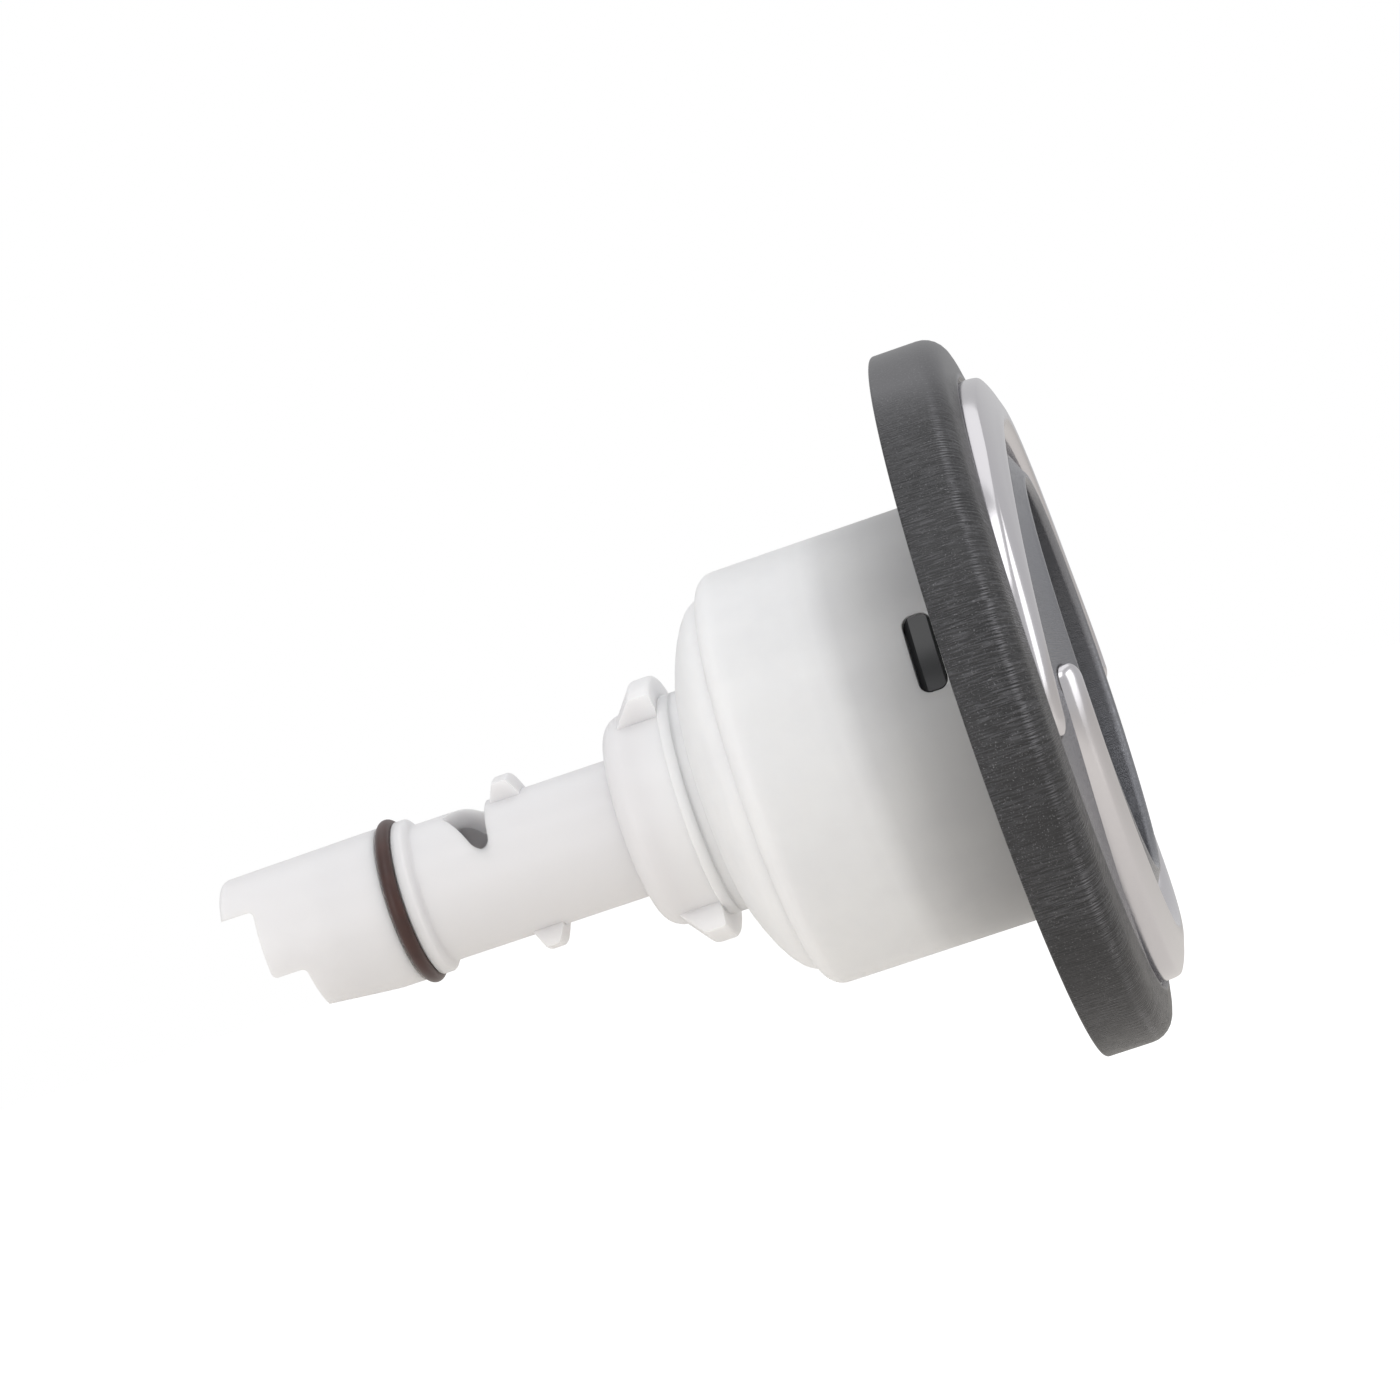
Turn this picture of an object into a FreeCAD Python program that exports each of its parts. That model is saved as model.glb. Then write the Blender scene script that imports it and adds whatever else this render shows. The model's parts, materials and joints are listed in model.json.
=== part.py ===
import FreeCAD
import Part
import math
import os

# Hot tub jet insert with a spinning twin-outlet rotor.
# Frame: +X points out of the tub wall, along the jet; +Z is up; the origin is the centre of
# the face's back edge, which lies on the tub wall. Lengths are in millimetres.
# A clock angle starts on the -Y side and grows towards +Z.

# Face moulding
FACE_RADIUS = 63.5
RIM_DEPTH = 11.9
RIM_ROUND = 4.4
RIM_WALL = 3.0
RIM_BAND = 8.2
SHOULDER_RISE = 1.5
FACE_SKIN = 2.6
VALLEY_STEP = 0.9
VALLEY_EDGE = 0.5
VALLEY_MIDDLE_SHARE = 0.516
VALLEY_MIDDLE_RISE = 2.0
VALLEY_INNER_RISE = 5.7
LIP_WIDTH = 2.1
LIP_DROP = 1.1
LIP_CREST = 0.35
THROAT_WALL = 2.2
FACE_RIBS = 8
RIB_THICKNESS = 1.6
RIB_SETBACK = 1.5

# Polished trims: their places across the valley are shares of its width
TRIM_EDGE_GAP = 0.3
TRIM_TIP_WIDTH = 0.34
TRIM_WIDENING = 0.21
TRIM_SPIRAL_IN = 0.6
TRIM_INNER_SPIRAL_IN = 0.357
TRIM_INNER_SPIRAL_ANGLE = 64.0
TRIM_START_ANGLE = -8.0
TRIM_TOP_ANGLE = 86.0
TRIM_END_ANGLE = 185.0
TRIM_TIP_RISE = 1.9
TRIM_TOP_RISE = 6.2
TRIM_SEAT_DEPTH = 0.8
TRIM_CLEARANCE = 0.12
TRIM_STATIONS = 16

# Barrel
BARREL_RADIUS = 37.5
BARREL_WALL = 2.2
BARREL_FRONT_X = 4.0
BARREL_LENGTH = 45.7
BARREL_CORNER_ROUND = 4.4
BOWL_STEP = 3.5
BOWL_DEPTH = 8.3
BOWL_ROUND = 6.0
BOWL_STEPS = 6
NECK_LENGTH = 2.0
NECK_STEP = 0.55
NECK_SHOULDER = 2.0

# Latch collar
COLLAR_CLEARANCE = 0.2
COLLAR_WALL = 1.9
COLLAR_DEPTH = 13.0
COLLAR_SPIGOT = 5.0
COLLAR_SPIGOT_WALL = 1.3
MOUTH_STEP = 0.8
FINGER_LENGTH = 7.0
FINGER_COUNT = 8
FINGER_GAP_ANGLE = 12.0
LATCH_COUNT = 3
LATCH_FIRST_ANGLE = 20.0
LATCH_WIDTH = 13.5
LATCH_FRONT_X = -2.5
LATCH_LENGTH = 4.5
LATCH_SINK = 0.15
LATCH_BEVEL = 1.0
LATCH_CORNER = 1.6
WINDOW_CLEARANCE = 0.25

# Hub and ball bearing
HUB_RADIUS = 10.0
HUB_WALL = 2.5
HUB_TAIL = 3.7
HUB_FIT = 0.03
RACE_WALL = 2.5
RACE_GAP = 2.37
BEARING_WIDTH = 9.0
BEARING_FIT = 0.05
BALL_RADIUS = 2.4
BALL_COUNT = 10
BALL_CLEARANCE = 0.15
CAGE_WALL = 1.4
CAGE_SIDE = 0.9
SEAT_WALL = 2.0
SEAT_LEDGE = 0.9
SEAT_HEIGHT = 3.8

# Bearing retainer
RETAINER_LIP = 2.0
RETAINER_SKIRT_WALL = 1.7
RETAINER_SKIRT_DEPTH = 6.0
RETAINER_CLEARANCE = 0.1
RETAINER_LIP_OVERLAP = 2.2
RETAINER_NOTCHES = 6
NOTCH_WIDTH = 3.0

# Rotor
FLANGE_SETBACK = 0.3
WASHER_THICKNESS = 1.0
WASHER_SETBACK = 0.5
CUP_FLANGE_THICKNESS = 3.0
CUP_WALL = 2.2
CUP_CONE_LENGTH = 17.0
CUP_RIM_LENGTH = 6.0
ROTOR_GAP = 2.2
ROTOR_FACE_EDGE = 2.8
ROTOR_FACE_THICKNESS = 3.0
ROTOR_FACE_SPIGOT = 3.5
ROTOR_NOSE_RADIUS = 7.0
ROTOR_NOSE_HEIGHT = 4.0
OUTLET_EDGE = 8.8
OUTLET_TILT = 18.0
OUTLET_BORE_RADIUS = 4.6
OUTLET_WALL = 1.6
OUTLET_FLANGE = 2.2
OUTLET_FLANGE_THICKNESS = 1.8
OUTLET_FRONT = 4.0
OUTLET_BACK = 7.0
OUTLET_FIT = 0.05
OUTLET_SEAT = 0.6
OUTLET_BOSS_EDGE = 0.5
OUTLET_BOSS_BACK = 1.4
SNAP_RING_THICKNESS = 1.0
SNAP_RING_GROOVE = 0.8
SNAP_RING_PROUD = 1.8
SNAP_RING_GAP_ANGLE = 40.0
SNAP_RING_FIT = 0.05
RUNNING_GAP = 0.3

# Stem
SPIGOT_SETBACK = 1.8
SPIGOT_FIT = 0.08
STEM_COLLAR_LENGTH = 2.2
STEM_SHOULDER_STEP = 0.8
STEM_SHOULDER_LENGTH = 11.4
STEM_SHOULDER_ROUND = 4.0
STEM_RADIUS = 12.5
STEM_WALL = 3.3
STEM_TAPER_LENGTH = 8.0
STEM_END_STEP = 1.5
STEM_INLET_WALL = 3.0
FLANGE_DISTANCE = 5.9
FLANGE_RAMP = 1.0
SEAL_DISTANCE = 4.5
SEAL_SECTION_RADIUS = 1.31
SEAL_GROOVE_DEPTH = 1.6
SEAL_GROOVE_WIDTH = 3.2
STEM_END_LENGTH = 31.1
STEM_END_ROUND = 1.2
STEM_LAND_LENGTH = 3.9
STEM_END_TAPER = 0.25
NECK_SEAL_DISTANCE = 2.5
NECK_SEAL_SECTION_RADIUS = 0.89
NECK_SEAL_GROOVE_WIDTH = 2.1
NECK_CLIP_THICKNESS = 1.2
NECK_CLIP_PROUD = 1.9
NECK_CLIP_GROOVE = 0.9
NECK_CLIP_ROOM = 0.65
LUG_HEIGHT = 4.0
LUG_FLAT = 3.8
LUG_RAMP = 3.8
LUG_SPAN = 58.0
KEY_DISTANCE = 16.8
KEY_HEIGHT = 3.4
KEY_FOOT = 0.4
KEY_LENGTH = 5.4
KEY_CREST = 2.6
KEY_SPAN = 40.0
PORT_DISTANCE = 1.1
PORT_LENGTH = 8.2
PORT_ANGLE = 73.0
PORT_HALF_ANGLE = 54.0
PORT_ROUND = 1.6
FINGER_STEP = 6.2
FINGER_HEIGHT = 7.3
LIP_STEP = 12.3
LIP_HEIGHT = -5.0
STEP_ROUND = 1.0
RELIEF_DEPTH = 1.9
RELIEF_OVERRUN = 2.0

# Suction nozzle inside the stem
NOZZLE_THROAT_RADIUS = 4.8
NOZZLE_WALL = 1.6
NOZZLE_LENGTH = 19.0
NOZZLE_SETBACK = 2.4
NOZZLE_FIT = 0.05
NOZZLE_FLANGE = 2.0
NOZZLE_THROAT_LENGTH = 4.0
NOZZLE_CONE = 6.0

# Radii that follow, from the barrel inwards to the mouth and from the rim inwards to the valley
BARREL_INNER_RADIUS = BARREL_RADIUS - BARREL_WALL
COLLAR_RADIUS = BARREL_INNER_RADIUS - COLLAR_CLEARANCE
MOUTH_RADIUS = BARREL_INNER_RADIUS - MOUTH_STEP
COLLAR_INNER_RADIUS = MOUTH_RADIUS - COLLAR_CLEARANCE - COLLAR_SPIGOT_WALL
SHOULDER_RADIUS = FACE_RADIUS - RIM_BAND
VALLEY_OUTER_RADIUS = SHOULDER_RADIUS - VALLEY_EDGE
VALLEY_INNER_RADIUS = MOUTH_RADIUS + LIP_WIDTH
VALLEY_WIDTH = VALLEY_OUTER_RADIUS - VALLEY_INNER_RADIUS
VALLEY_MIDDLE_RADIUS = VALLEY_INNER_RADIUS + VALLEY_MIDDLE_SHARE * VALLEY_WIDTH
TRIM_OUTER_RADIUS = VALLEY_OUTER_RADIUS - TRIM_EDGE_GAP
TRIM_TIP_INNER_RADIUS = TRIM_OUTER_RADIUS - TRIM_TIP_WIDTH * VALLEY_WIDTH

# Radii that follow from the hub outwards to the neck
HUB_BORE_RADIUS = HUB_RADIUS - HUB_WALL
BEARING_BORE_RADIUS = HUB_RADIUS + HUB_FIT
BEARING_RADIUS = BEARING_BORE_RADIUS + 2 * RACE_WALL + RACE_GAP
BALL_PITCH_RADIUS = (BEARING_RADIUS + BEARING_BORE_RADIUS) / 2
FLANGE_RADIUS = BEARING_BORE_RADIUS + RACE_WALL - FLANGE_SETBACK
WASHER_RADIUS = BEARING_BORE_RADIUS + RACE_WALL - WASHER_SETBACK
SEAT_BORE_RADIUS = BEARING_RADIUS + BEARING_FIT
SEAT_OUTER_RADIUS = SEAT_BORE_RADIUS + SEAT_WALL
CLIP_ROOM_RADIUS = SEAT_BORE_RADIUS - SEAT_LEDGE
SPIGOT_RADIUS = CLIP_ROOM_RADIUS - NECK_CLIP_ROOM - NECK_CLIP_PROUD
SPIGOT_BORE_RADIUS = SPIGOT_RADIUS + SPIGOT_FIT
NECK_RADIUS = SEAT_OUTER_RADIUS + NECK_STEP

# Radii that follow for the rotor and the stem
ROTOR_FACE_RADIUS = COLLAR_INNER_RADIUS - ROTOR_GAP
CUP_RADIUS = ROTOR_FACE_RADIUS - ROTOR_FACE_EDGE
CUP_INNER_RADIUS = CUP_RADIUS - CUP_WALL
OUTLET_PITCH_RADIUS = CUP_INNER_RADIUS - OUTLET_EDGE
OUTLET_RADIUS = OUTLET_BORE_RADIUS + OUTLET_WALL
OUTLET_FLANGE_RADIUS = OUTLET_RADIUS + OUTLET_FLANGE
STEM_SHOULDER_RADIUS = NECK_RADIUS - STEM_SHOULDER_STEP
LUG_RADIUS = NECK_RADIUS + LUG_HEIGHT
STEM_BORE_RADIUS = STEM_RADIUS - STEM_WALL
STEM_FRONT_BORE_RADIUS = HUB_BORE_RADIUS - RUNNING_GAP
STEM_END_RADIUS = STEM_RADIUS + STEM_END_STEP
STEM_INLET_RADIUS = STEM_END_RADIUS - STEM_INLET_WALL
SEAL_INNER_RADIUS = STEM_END_RADIUS - SEAL_GROOVE_DEPTH
KEY_RADIUS = STEM_RADIUS + KEY_HEIGHT

# Places along the axis that follow: the face, the barrel, the bearing and the rotor
SHOULDER_X = RIM_DEPTH + SHOULDER_RISE
VALLEY_OUTER_X = SHOULDER_X - VALLEY_STEP
VALLEY_MIDDLE_X = VALLEY_OUTER_X + VALLEY_MIDDLE_RISE
VALLEY_INNER_X = VALLEY_OUTER_X + VALLEY_INNER_RISE
BARREL_BACK_X = BARREL_FRONT_X - BARREL_LENGTH
NECK_FRONT_X = BARREL_BACK_X - BOWL_DEPTH
NECK_BACK_X = NECK_FRONT_X - NECK_LENGTH
FLOOR_X = NECK_FRONT_X + BARREL_WALL
BEARING_BACK_X = FLOOR_X + SEAT_HEIGHT
BEARING_FRONT_X = BEARING_BACK_X + BEARING_WIDTH
WASHER_FRONT_X = BEARING_FRONT_X + WASHER_THICKNESS
CUP_CONE_X = WASHER_FRONT_X + CUP_FLANGE_THICKNESS
CUP_RIM_X = CUP_CONE_X + CUP_CONE_LENGTH
CUP_FRONT_X = CUP_RIM_X + CUP_RIM_LENGTH
ROTOR_FACE_X = CUP_FRONT_X + ROTOR_FACE_THICKNESS
HUB_BACK_X = BEARING_BACK_X - HUB_TAIL
HUB_RING_X = BEARING_BACK_X - SNAP_RING_THICKNESS / 2 - SNAP_RING_FIT

# Places along the axis that follow: the stem and what is in it
SPIGOT_FRONT_X = BEARING_BACK_X - SPIGOT_SETBACK
NECK_CLIP_X = FLOOR_X + NECK_CLIP_THICKNESS / 2 + SNAP_RING_FIT
NECK_SEAL_X = NECK_BACK_X + NECK_SEAL_DISTANCE
STEM_SHOULDER_X = NECK_BACK_X - STEM_COLLAR_LENGTH
STEM_TUBE_X = STEM_SHOULDER_X - STEM_SHOULDER_LENGTH
KEY_FRONT_X = STEM_TUBE_X - KEY_DISTANCE
PORT_FRONT_X = KEY_FRONT_X - KEY_LENGTH - PORT_DISTANCE
PORT_BACK_X = PORT_FRONT_X - PORT_LENGTH
STEM_FLANGE_X = PORT_BACK_X - FLANGE_DISTANCE
SEAL_X = STEM_FLANGE_X - SEAL_DISTANCE
STEM_END_X = SEAL_X - STEM_END_LENGTH
STEM_LAND_X = SEAL_X - SEAL_GROOVE_WIDTH / 2 - STEM_LAND_LENGTH
FINGER_X = STEM_END_X + FINGER_STEP
LIP_X = STEM_END_X + LIP_STEP
NOZZLE_TIP_X = PORT_BACK_X - NOZZLE_SETBACK
NOZZLE_BACK_X = NOZZLE_TIP_X - NOZZLE_LENGTH

# Groove radii that follow
HUB_GROOVE_RADIUS = HUB_RADIUS - SNAP_RING_GROOVE
NECK_CLIP_GROOVE_RADIUS = SPIGOT_RADIUS - NECK_CLIP_GROOVE
NECK_SEAL_INNER_RADIUS = SPIGOT_BORE_RADIUS - 2 * NECK_SEAL_SECTION_RADIUS

X_AXIS = FreeCAD.Vector(1, 0, 0)
ORIGIN = FreeCAD.Vector(0, 0, 0)


def meridian(x, radius, angle=90.0):
    """A point at a height along the axis, a radius and a clock angle."""
    turn = math.radians(angle)
    return FreeCAD.Vector(x, -radius * math.cos(turn), radius * math.sin(turn))


def rounded_wire(corners, place=lambda a, b: FreeCAD.Vector(a, 0, b)):
    """Closes a polygon whose corners are (a, b) or (a, b, rounding radius) and rounds them with arcs."""
    count = len(corners)
    flat = [FreeCAD.Vector(corner[0], corner[1], 0) for corner in corners]
    sides = [flat[(index + 1) % count] - flat[index] for index in range(count)]
    halves = [(sides[index - 1] * -1).getAngle(sides[index]) / 2 for index in range(count)]
    setbacks = []
    for corner, half in zip(corners, halves):
        rounding = corner[2] if len(corner) > 2 else 0.0
        setbacks.append(rounding / math.tan(half) if half < math.pi / 2 - 0.01 else 0.0)
    # where two roundings don't fit on one side, both get smaller by the same share
    shares = [1.0] * count
    for index in range(count):
        following = (index + 1) % count
        both = setbacks[index] + setbacks[following]
        if both > 0.0:
            share = min(1.0, 0.96 * sides[index].Length / both)
            shares[index] = min(shares[index], share)
            shares[following] = min(shares[following], share)
    cuts = []
    for index in range(count):
        here = flat[index]
        setback = setbacks[index] * shares[index]
        if setback < 1e-3:
            cuts.append((here, None, here))
            continue
        radius = setback * math.tan(halves[index])
        to_last = (sides[index - 1] * -1).normalize()
        to_next = FreeCAD.Vector(sides[index]).normalize()
        middle = here + (to_last + to_next).normalize() * (radius / math.sin(halves[index]) - radius)
        cuts.append((here + to_last * setback, middle, here + to_next * setback))
    edges = []
    for index, (before, middle, after) in enumerate(cuts):
        if middle is not None:
            points = [place(point.x, point.y) for point in (before, middle, after)]
            edges.append(Part.Arc(*points).toShape())
        start = after
        end = cuts[(index + 1) % count][0]
        if start.distanceToPoint(end) > 1e-6:
            edges.append(Part.LineSegment(place(start.x, start.y), place(end.x, end.y)).toShape())
    return Part.Wire(edges)


def turned(corners, start_angle=0.0, sweep=360.0):
    """Turns a profile of (x, radius) corners about the X axis, from a clock angle over a sweep."""
    face = Part.Face(rounded_wire(corners))
    # the profile is drawn at clock angle 90, and clock angles run against a turn about +X
    face.rotate(ORIGIN, X_AXIS, 90.0 - start_angle)
    return face.revolve(ORIGIN, X_AXIS, -sweep)


def ring(back_x, front_x, inner_radius, outer_radius):
    """A plain ring between two planes and two radii."""
    back = [(back_x, inner_radius), (back_x, outer_radius)]
    front = [(front_x, outer_radius), (front_x, inner_radius)]
    return turned(back + front)


def around_x(shape, angle):
    """A copy of a shape turned by a clock angle."""
    copy = shape.copy()
    copy.rotate(ORIGIN, X_AXIS, -angle)
    return copy


def pattern(shape, count, first_angle=0.0):
    """Equally spaced copies of a shape round the X axis."""
    return [around_x(shape, first_angle + index * 360.0 / count) for index in range(count)]


def smooth(value, start, end):
    """Zero before start, one after end, and an even ease between them."""
    share = min(1.0, max(0.0, (value - start) / (end - start)))
    return share * share * (3.0 - 2.0 * share)


def valley_arc():
    """The arc of the face's valley floor in the meridian plane, from its outer edge to the lip."""
    return Part.Arc(
        meridian(VALLEY_OUTER_X, VALLEY_OUTER_RADIUS),
        meridian(VALLEY_MIDDLE_X, VALLEY_MIDDLE_RADIUS),
        meridian(VALLEY_INNER_X, VALLEY_INNER_RADIUS),
    )


def valley_height(radius):
    """Where the valley floor lies along the axis at a radius."""
    circle = valley_arc().toShape().Curve
    return circle.Center.x + math.sqrt(max(circle.Radius ** 2 - (radius - circle.Center.z) ** 2, 0.0)) * (
        1.0 if circle.Center.x < VALLEY_MIDDLE_X else -1.0
    )


def face_shell():
    """The face moulding before its trim seats: rim, shoulder, valley, lip, throat and open back."""
    throat_outer = MOUTH_RADIUS + THROAT_WALL
    lip_x = VALLEY_INNER_X - LIP_DROP
    radii = [VALLEY_OUTER_RADIUS, VALLEY_MIDDLE_RADIUS, throat_outer + 0.5]
    under_x = [valley_height(radius) - FACE_SKIN for radius in radii]
    path = [
        meridian(lip_x, MOUTH_RADIUS),
        meridian(BARREL_FRONT_X, MOUTH_RADIUS),
        meridian(BARREL_FRONT_X, throat_outer),
        meridian(under_x[2], throat_outer),
        meridian(under_x[1], VALLEY_MIDDLE_RADIUS),
        meridian(under_x[0], VALLEY_OUTER_RADIUS),
        meridian(VALLEY_OUTER_X, VALLEY_OUTER_RADIUS),
    ]
    crest = meridian(VALLEY_INNER_X + LIP_CREST, (VALLEY_INNER_RADIUS + MOUTH_RADIUS) / 2)
    lip = Part.Arc(meridian(VALLEY_INNER_X, VALLEY_INNER_RADIUS), crest, path[0])
    web = [Part.LineSegment(start, end).toShape() for start, end in zip(path, path[1:])]
    web += [valley_arc().toShape(), lip.toShape()]
    inner = Part.Face(Part.Wire(Part.__sortEdges__(web))).revolve(ORIGIN, X_AXIS, 360)
    rim = turned([
        (0.0, FACE_RADIUS - RIM_WALL),
        (0.0, FACE_RADIUS, 0.5),
        (RIM_DEPTH, FACE_RADIUS, RIM_ROUND),
        (SHOULDER_X, SHOULDER_RADIUS, 0.4),
        (VALLEY_OUTER_X, VALLEY_OUTER_RADIUS),
        (under_x[0], VALLEY_OUTER_RADIUS),
        (RIM_DEPTH - FACE_SKIN, FACE_RADIUS - RIM_WALL, RIM_ROUND - FACE_SKIN),
    ])
    return inner.fuse(rim).removeSplitter()


def face_ribs():
    """Stiffening ribs across the open back of the face, from its throat to its rim."""
    inner = MOUTH_RADIUS + THROAT_WALL / 2
    outer = FACE_RADIUS - RIM_WALL / 2
    back_x = BARREL_FRONT_X + RIB_SETBACK
    corners = [
        (back_x, inner),
        (back_x, outer),
        (RIM_DEPTH - FACE_SKIN / 2, outer),
        (valley_height(VALLEY_OUTER_RADIUS) - FACE_SKIN / 2, VALLEY_OUTER_RADIUS),
        (valley_height(VALLEY_MIDDLE_RADIUS) - FACE_SKIN / 2, VALLEY_MIDDLE_RADIUS),
        (valley_height(VALLEY_INNER_RADIUS) - FACE_SKIN, inner),
    ]
    rib = Part.Face(rounded_wire(corners)).extrude(FreeCAD.Vector(0, RIB_THICKNESS, 0))
    rib.translate(FreeCAD.Vector(0, -RIB_THICKNESS / 2, 0))
    return pattern(rib, FACE_RIBS, 180.0 / FACE_RIBS)


def trim_section(angle, tip_share, grow):
    """One cross-section of a trim over the valley floor: wide and tall at mid length, low at its tips."""
    spiral = smooth(angle, TRIM_TOP_ANGLE, TRIM_END_ANGLE)
    outer = TRIM_OUTER_RADIUS - TRIM_SPIRAL_IN * VALLEY_WIDTH * spiral
    widening = smooth(angle, TRIM_START_ANGLE, TRIM_TOP_ANGLE)
    inward = smooth(angle, TRIM_TOP_ANGLE, TRIM_TOP_ANGLE + TRIM_INNER_SPIRAL_ANGLE)
    inner = TRIM_TIP_INNER_RADIUS - (TRIM_WIDENING * widening + TRIM_INNER_SPIRAL_IN * inward) * VALLEY_WIDTH
    middle = (outer + inner) / 2
    half = (outer - inner) / 2 * tip_share + grow
    outer = middle + half
    inner = middle - half
    climb = min(1.0, max(0.0, (angle - TRIM_START_ANGLE) / (TRIM_TOP_ANGLE - TRIM_START_ANGLE)))
    rise = TRIM_TIP_RISE + (TRIM_TOP_RISE - TRIM_TIP_RISE) * math.sin(math.pi / 2 * climb)
    above = VALLEY_OUTER_X + rise - valley_height(middle)
    crown = valley_height(middle) + above * (0.3 + 0.7 * tip_share)
    floor_outer = valley_height(outer) - TRIM_SEAT_DEPTH - grow
    floor_inner = valley_height(inner) - TRIM_SEAT_DEPTH - grow
    drop = crown - floor_outer
    top = Part.BSplineCurve()
    top.interpolate([
        meridian(floor_outer, outer, angle),
        meridian(crown - 0.4 * drop, outer - 0.05 * half, angle),
        meridian(crown - 0.25 * drop, outer - 0.3 * half, angle),
        meridian(crown - 0.1 * drop, outer - 0.85 * half, angle),
        meridian(crown, inner + 0.5 * half, angle),
        meridian(crown - 0.3 * (crown - floor_inner), inner + 0.05 * half, angle),
        meridian(floor_inner, inner, angle),
    ])
    base = Part.LineSegment(meridian(floor_inner, inner, angle), meridian(floor_outer, outer, angle))
    return Part.Wire([top.toShape(), base.toShape()])


def trim(grow=0.0):
    """A crescent that hugs the valley's outer edge, widens and spirals in to hook round the mouth."""
    tip = (TRIM_OUTER_RADIUS - TRIM_TIP_INNER_RADIUS) / 2
    tip_angle = math.degrees(tip / TRIM_OUTER_RADIUS)
    hook_angle = math.degrees(tip / (TRIM_OUTER_RADIUS - TRIM_SPIRAL_IN * VALLEY_WIDTH))
    reach = math.degrees(grow / TRIM_OUTER_RADIUS)
    stations = []
    for share in (0.04, 0.2, 0.5):
        stations.append((TRIM_START_ANGLE - reach + share * tip_angle, math.sqrt(1.0 - (1.0 - share) ** 2)))
    first = TRIM_START_ANGLE + tip_angle
    last = TRIM_END_ANGLE - hook_angle
    for index in range(TRIM_STATIONS):
        stations.append((first + (last - first) * index / (TRIM_STATIONS - 1), 1.0))
    for share in (0.5, 0.2, 0.04):
        stations.append((TRIM_END_ANGLE + reach - share * hook_angle, math.sqrt(1.0 - (1.0 - share) ** 2)))
    sections = [trim_section(angle, share, grow) for angle, share in stations]
    return Part.makeLoft(sections, True, False)


def bezel():
    """Graphite face moulding: rim, valley, mouth, ribbed back and a shallow seat for each trim."""
    body = face_shell().fuse(face_ribs()).removeSplitter()
    seat = trim(TRIM_CLEARANCE)
    return body.cut([seat, around_x(seat, 180.0)])


def latch_block(grow, bottom_radius, top_radius):
    """The block of one latch, with rounded corners, between two radii and at clock angle 90."""
    half = LATCH_WIDTH / 2 + grow
    back = LATCH_FRONT_X - LATCH_LENGTH - grow
    front = LATCH_FRONT_X + grow
    corner = LATCH_CORNER + grow
    outline = [(back, -half, corner), (front, -half, corner), (front, half, corner), (back, half, corner)]
    wire = rounded_wire(outline, lambda a, b: FreeCAD.Vector(a, b, bottom_radius))
    return Part.Face(wire).extrude(FreeCAD.Vector(0, 0, top_radius - bottom_radius))


def latch_collar():
    """Black collar: spigot in the mouth, sleeve in the barrel, fingers, and latches in the windows."""
    inner = COLLAR_INNER_RADIUS
    back = -COLLAR_DEPTH
    tail = back - FINGER_LENGTH
    sleeve = turned([
        (tail, inner),
        (tail, COLLAR_RADIUS - 0.5, 0.4),
        (back, COLLAR_RADIUS),
        (BARREL_FRONT_X - COLLAR_CLEARANCE, COLLAR_RADIUS),
        (BARREL_FRONT_X - COLLAR_CLEARANCE, MOUTH_RADIUS - COLLAR_CLEARANCE),
        (BARREL_FRONT_X + COLLAR_SPIGOT, MOUTH_RADIUS - COLLAR_CLEARANCE, 0.3),
        (BARREL_FRONT_X + COLLAR_SPIGOT, inner, 0.3),
    ])
    below = inner - 1.0
    above = COLLAR_RADIUS + 1.0
    outline = [(tail - 1.0, below), (tail - 1.0, above), (back, above), (back, below)]
    slot = turned(outline, -FINGER_GAP_ANGLE / 2, FINGER_GAP_ANGLE)
    sleeve = sleeve.cut(pattern(slot, FINGER_COUNT))
    crown = BARREL_RADIUS - LATCH_SINK
    block = latch_block(0.0, COLLAR_RADIUS - COLLAR_WALL / 2, BARREL_RADIUS + 1.0)
    back_x = LATCH_FRONT_X - LATCH_LENGTH
    envelope = turned([
        (back_x, inner),
        (back_x, crown - LATCH_BEVEL),
        (back_x + LATCH_BEVEL, crown),
        (LATCH_FRONT_X - LATCH_BEVEL / 3, crown),
        (LATCH_FRONT_X, crown - LATCH_BEVEL / 3),
        (LATCH_FRONT_X, inner),
    ])
    latch = block.common(envelope)
    return sleeve.fuse(pattern(latch, LATCH_COUNT, LATCH_FIRST_ANGLE - 90.0)).removeSplitter()


def bowl(offset):
    """Corners of the barrel's closed end: a parabola from its rim to its neck, moved in by an offset."""
    start = BARREL_RADIUS - BOWL_STEP - offset
    end = NECK_RADIUS + NECK_SHOULDER - offset
    corners = [(BARREL_BACK_X + offset, start)]
    for index in range(1, BOWL_STEPS + 1):
        share = index / BOWL_STEPS
        x = BARREL_BACK_X + offset - BOWL_DEPTH * share
        corners.append((x, start + (end - start) * share ** 2, BOWL_ROUND))
    return corners


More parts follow.
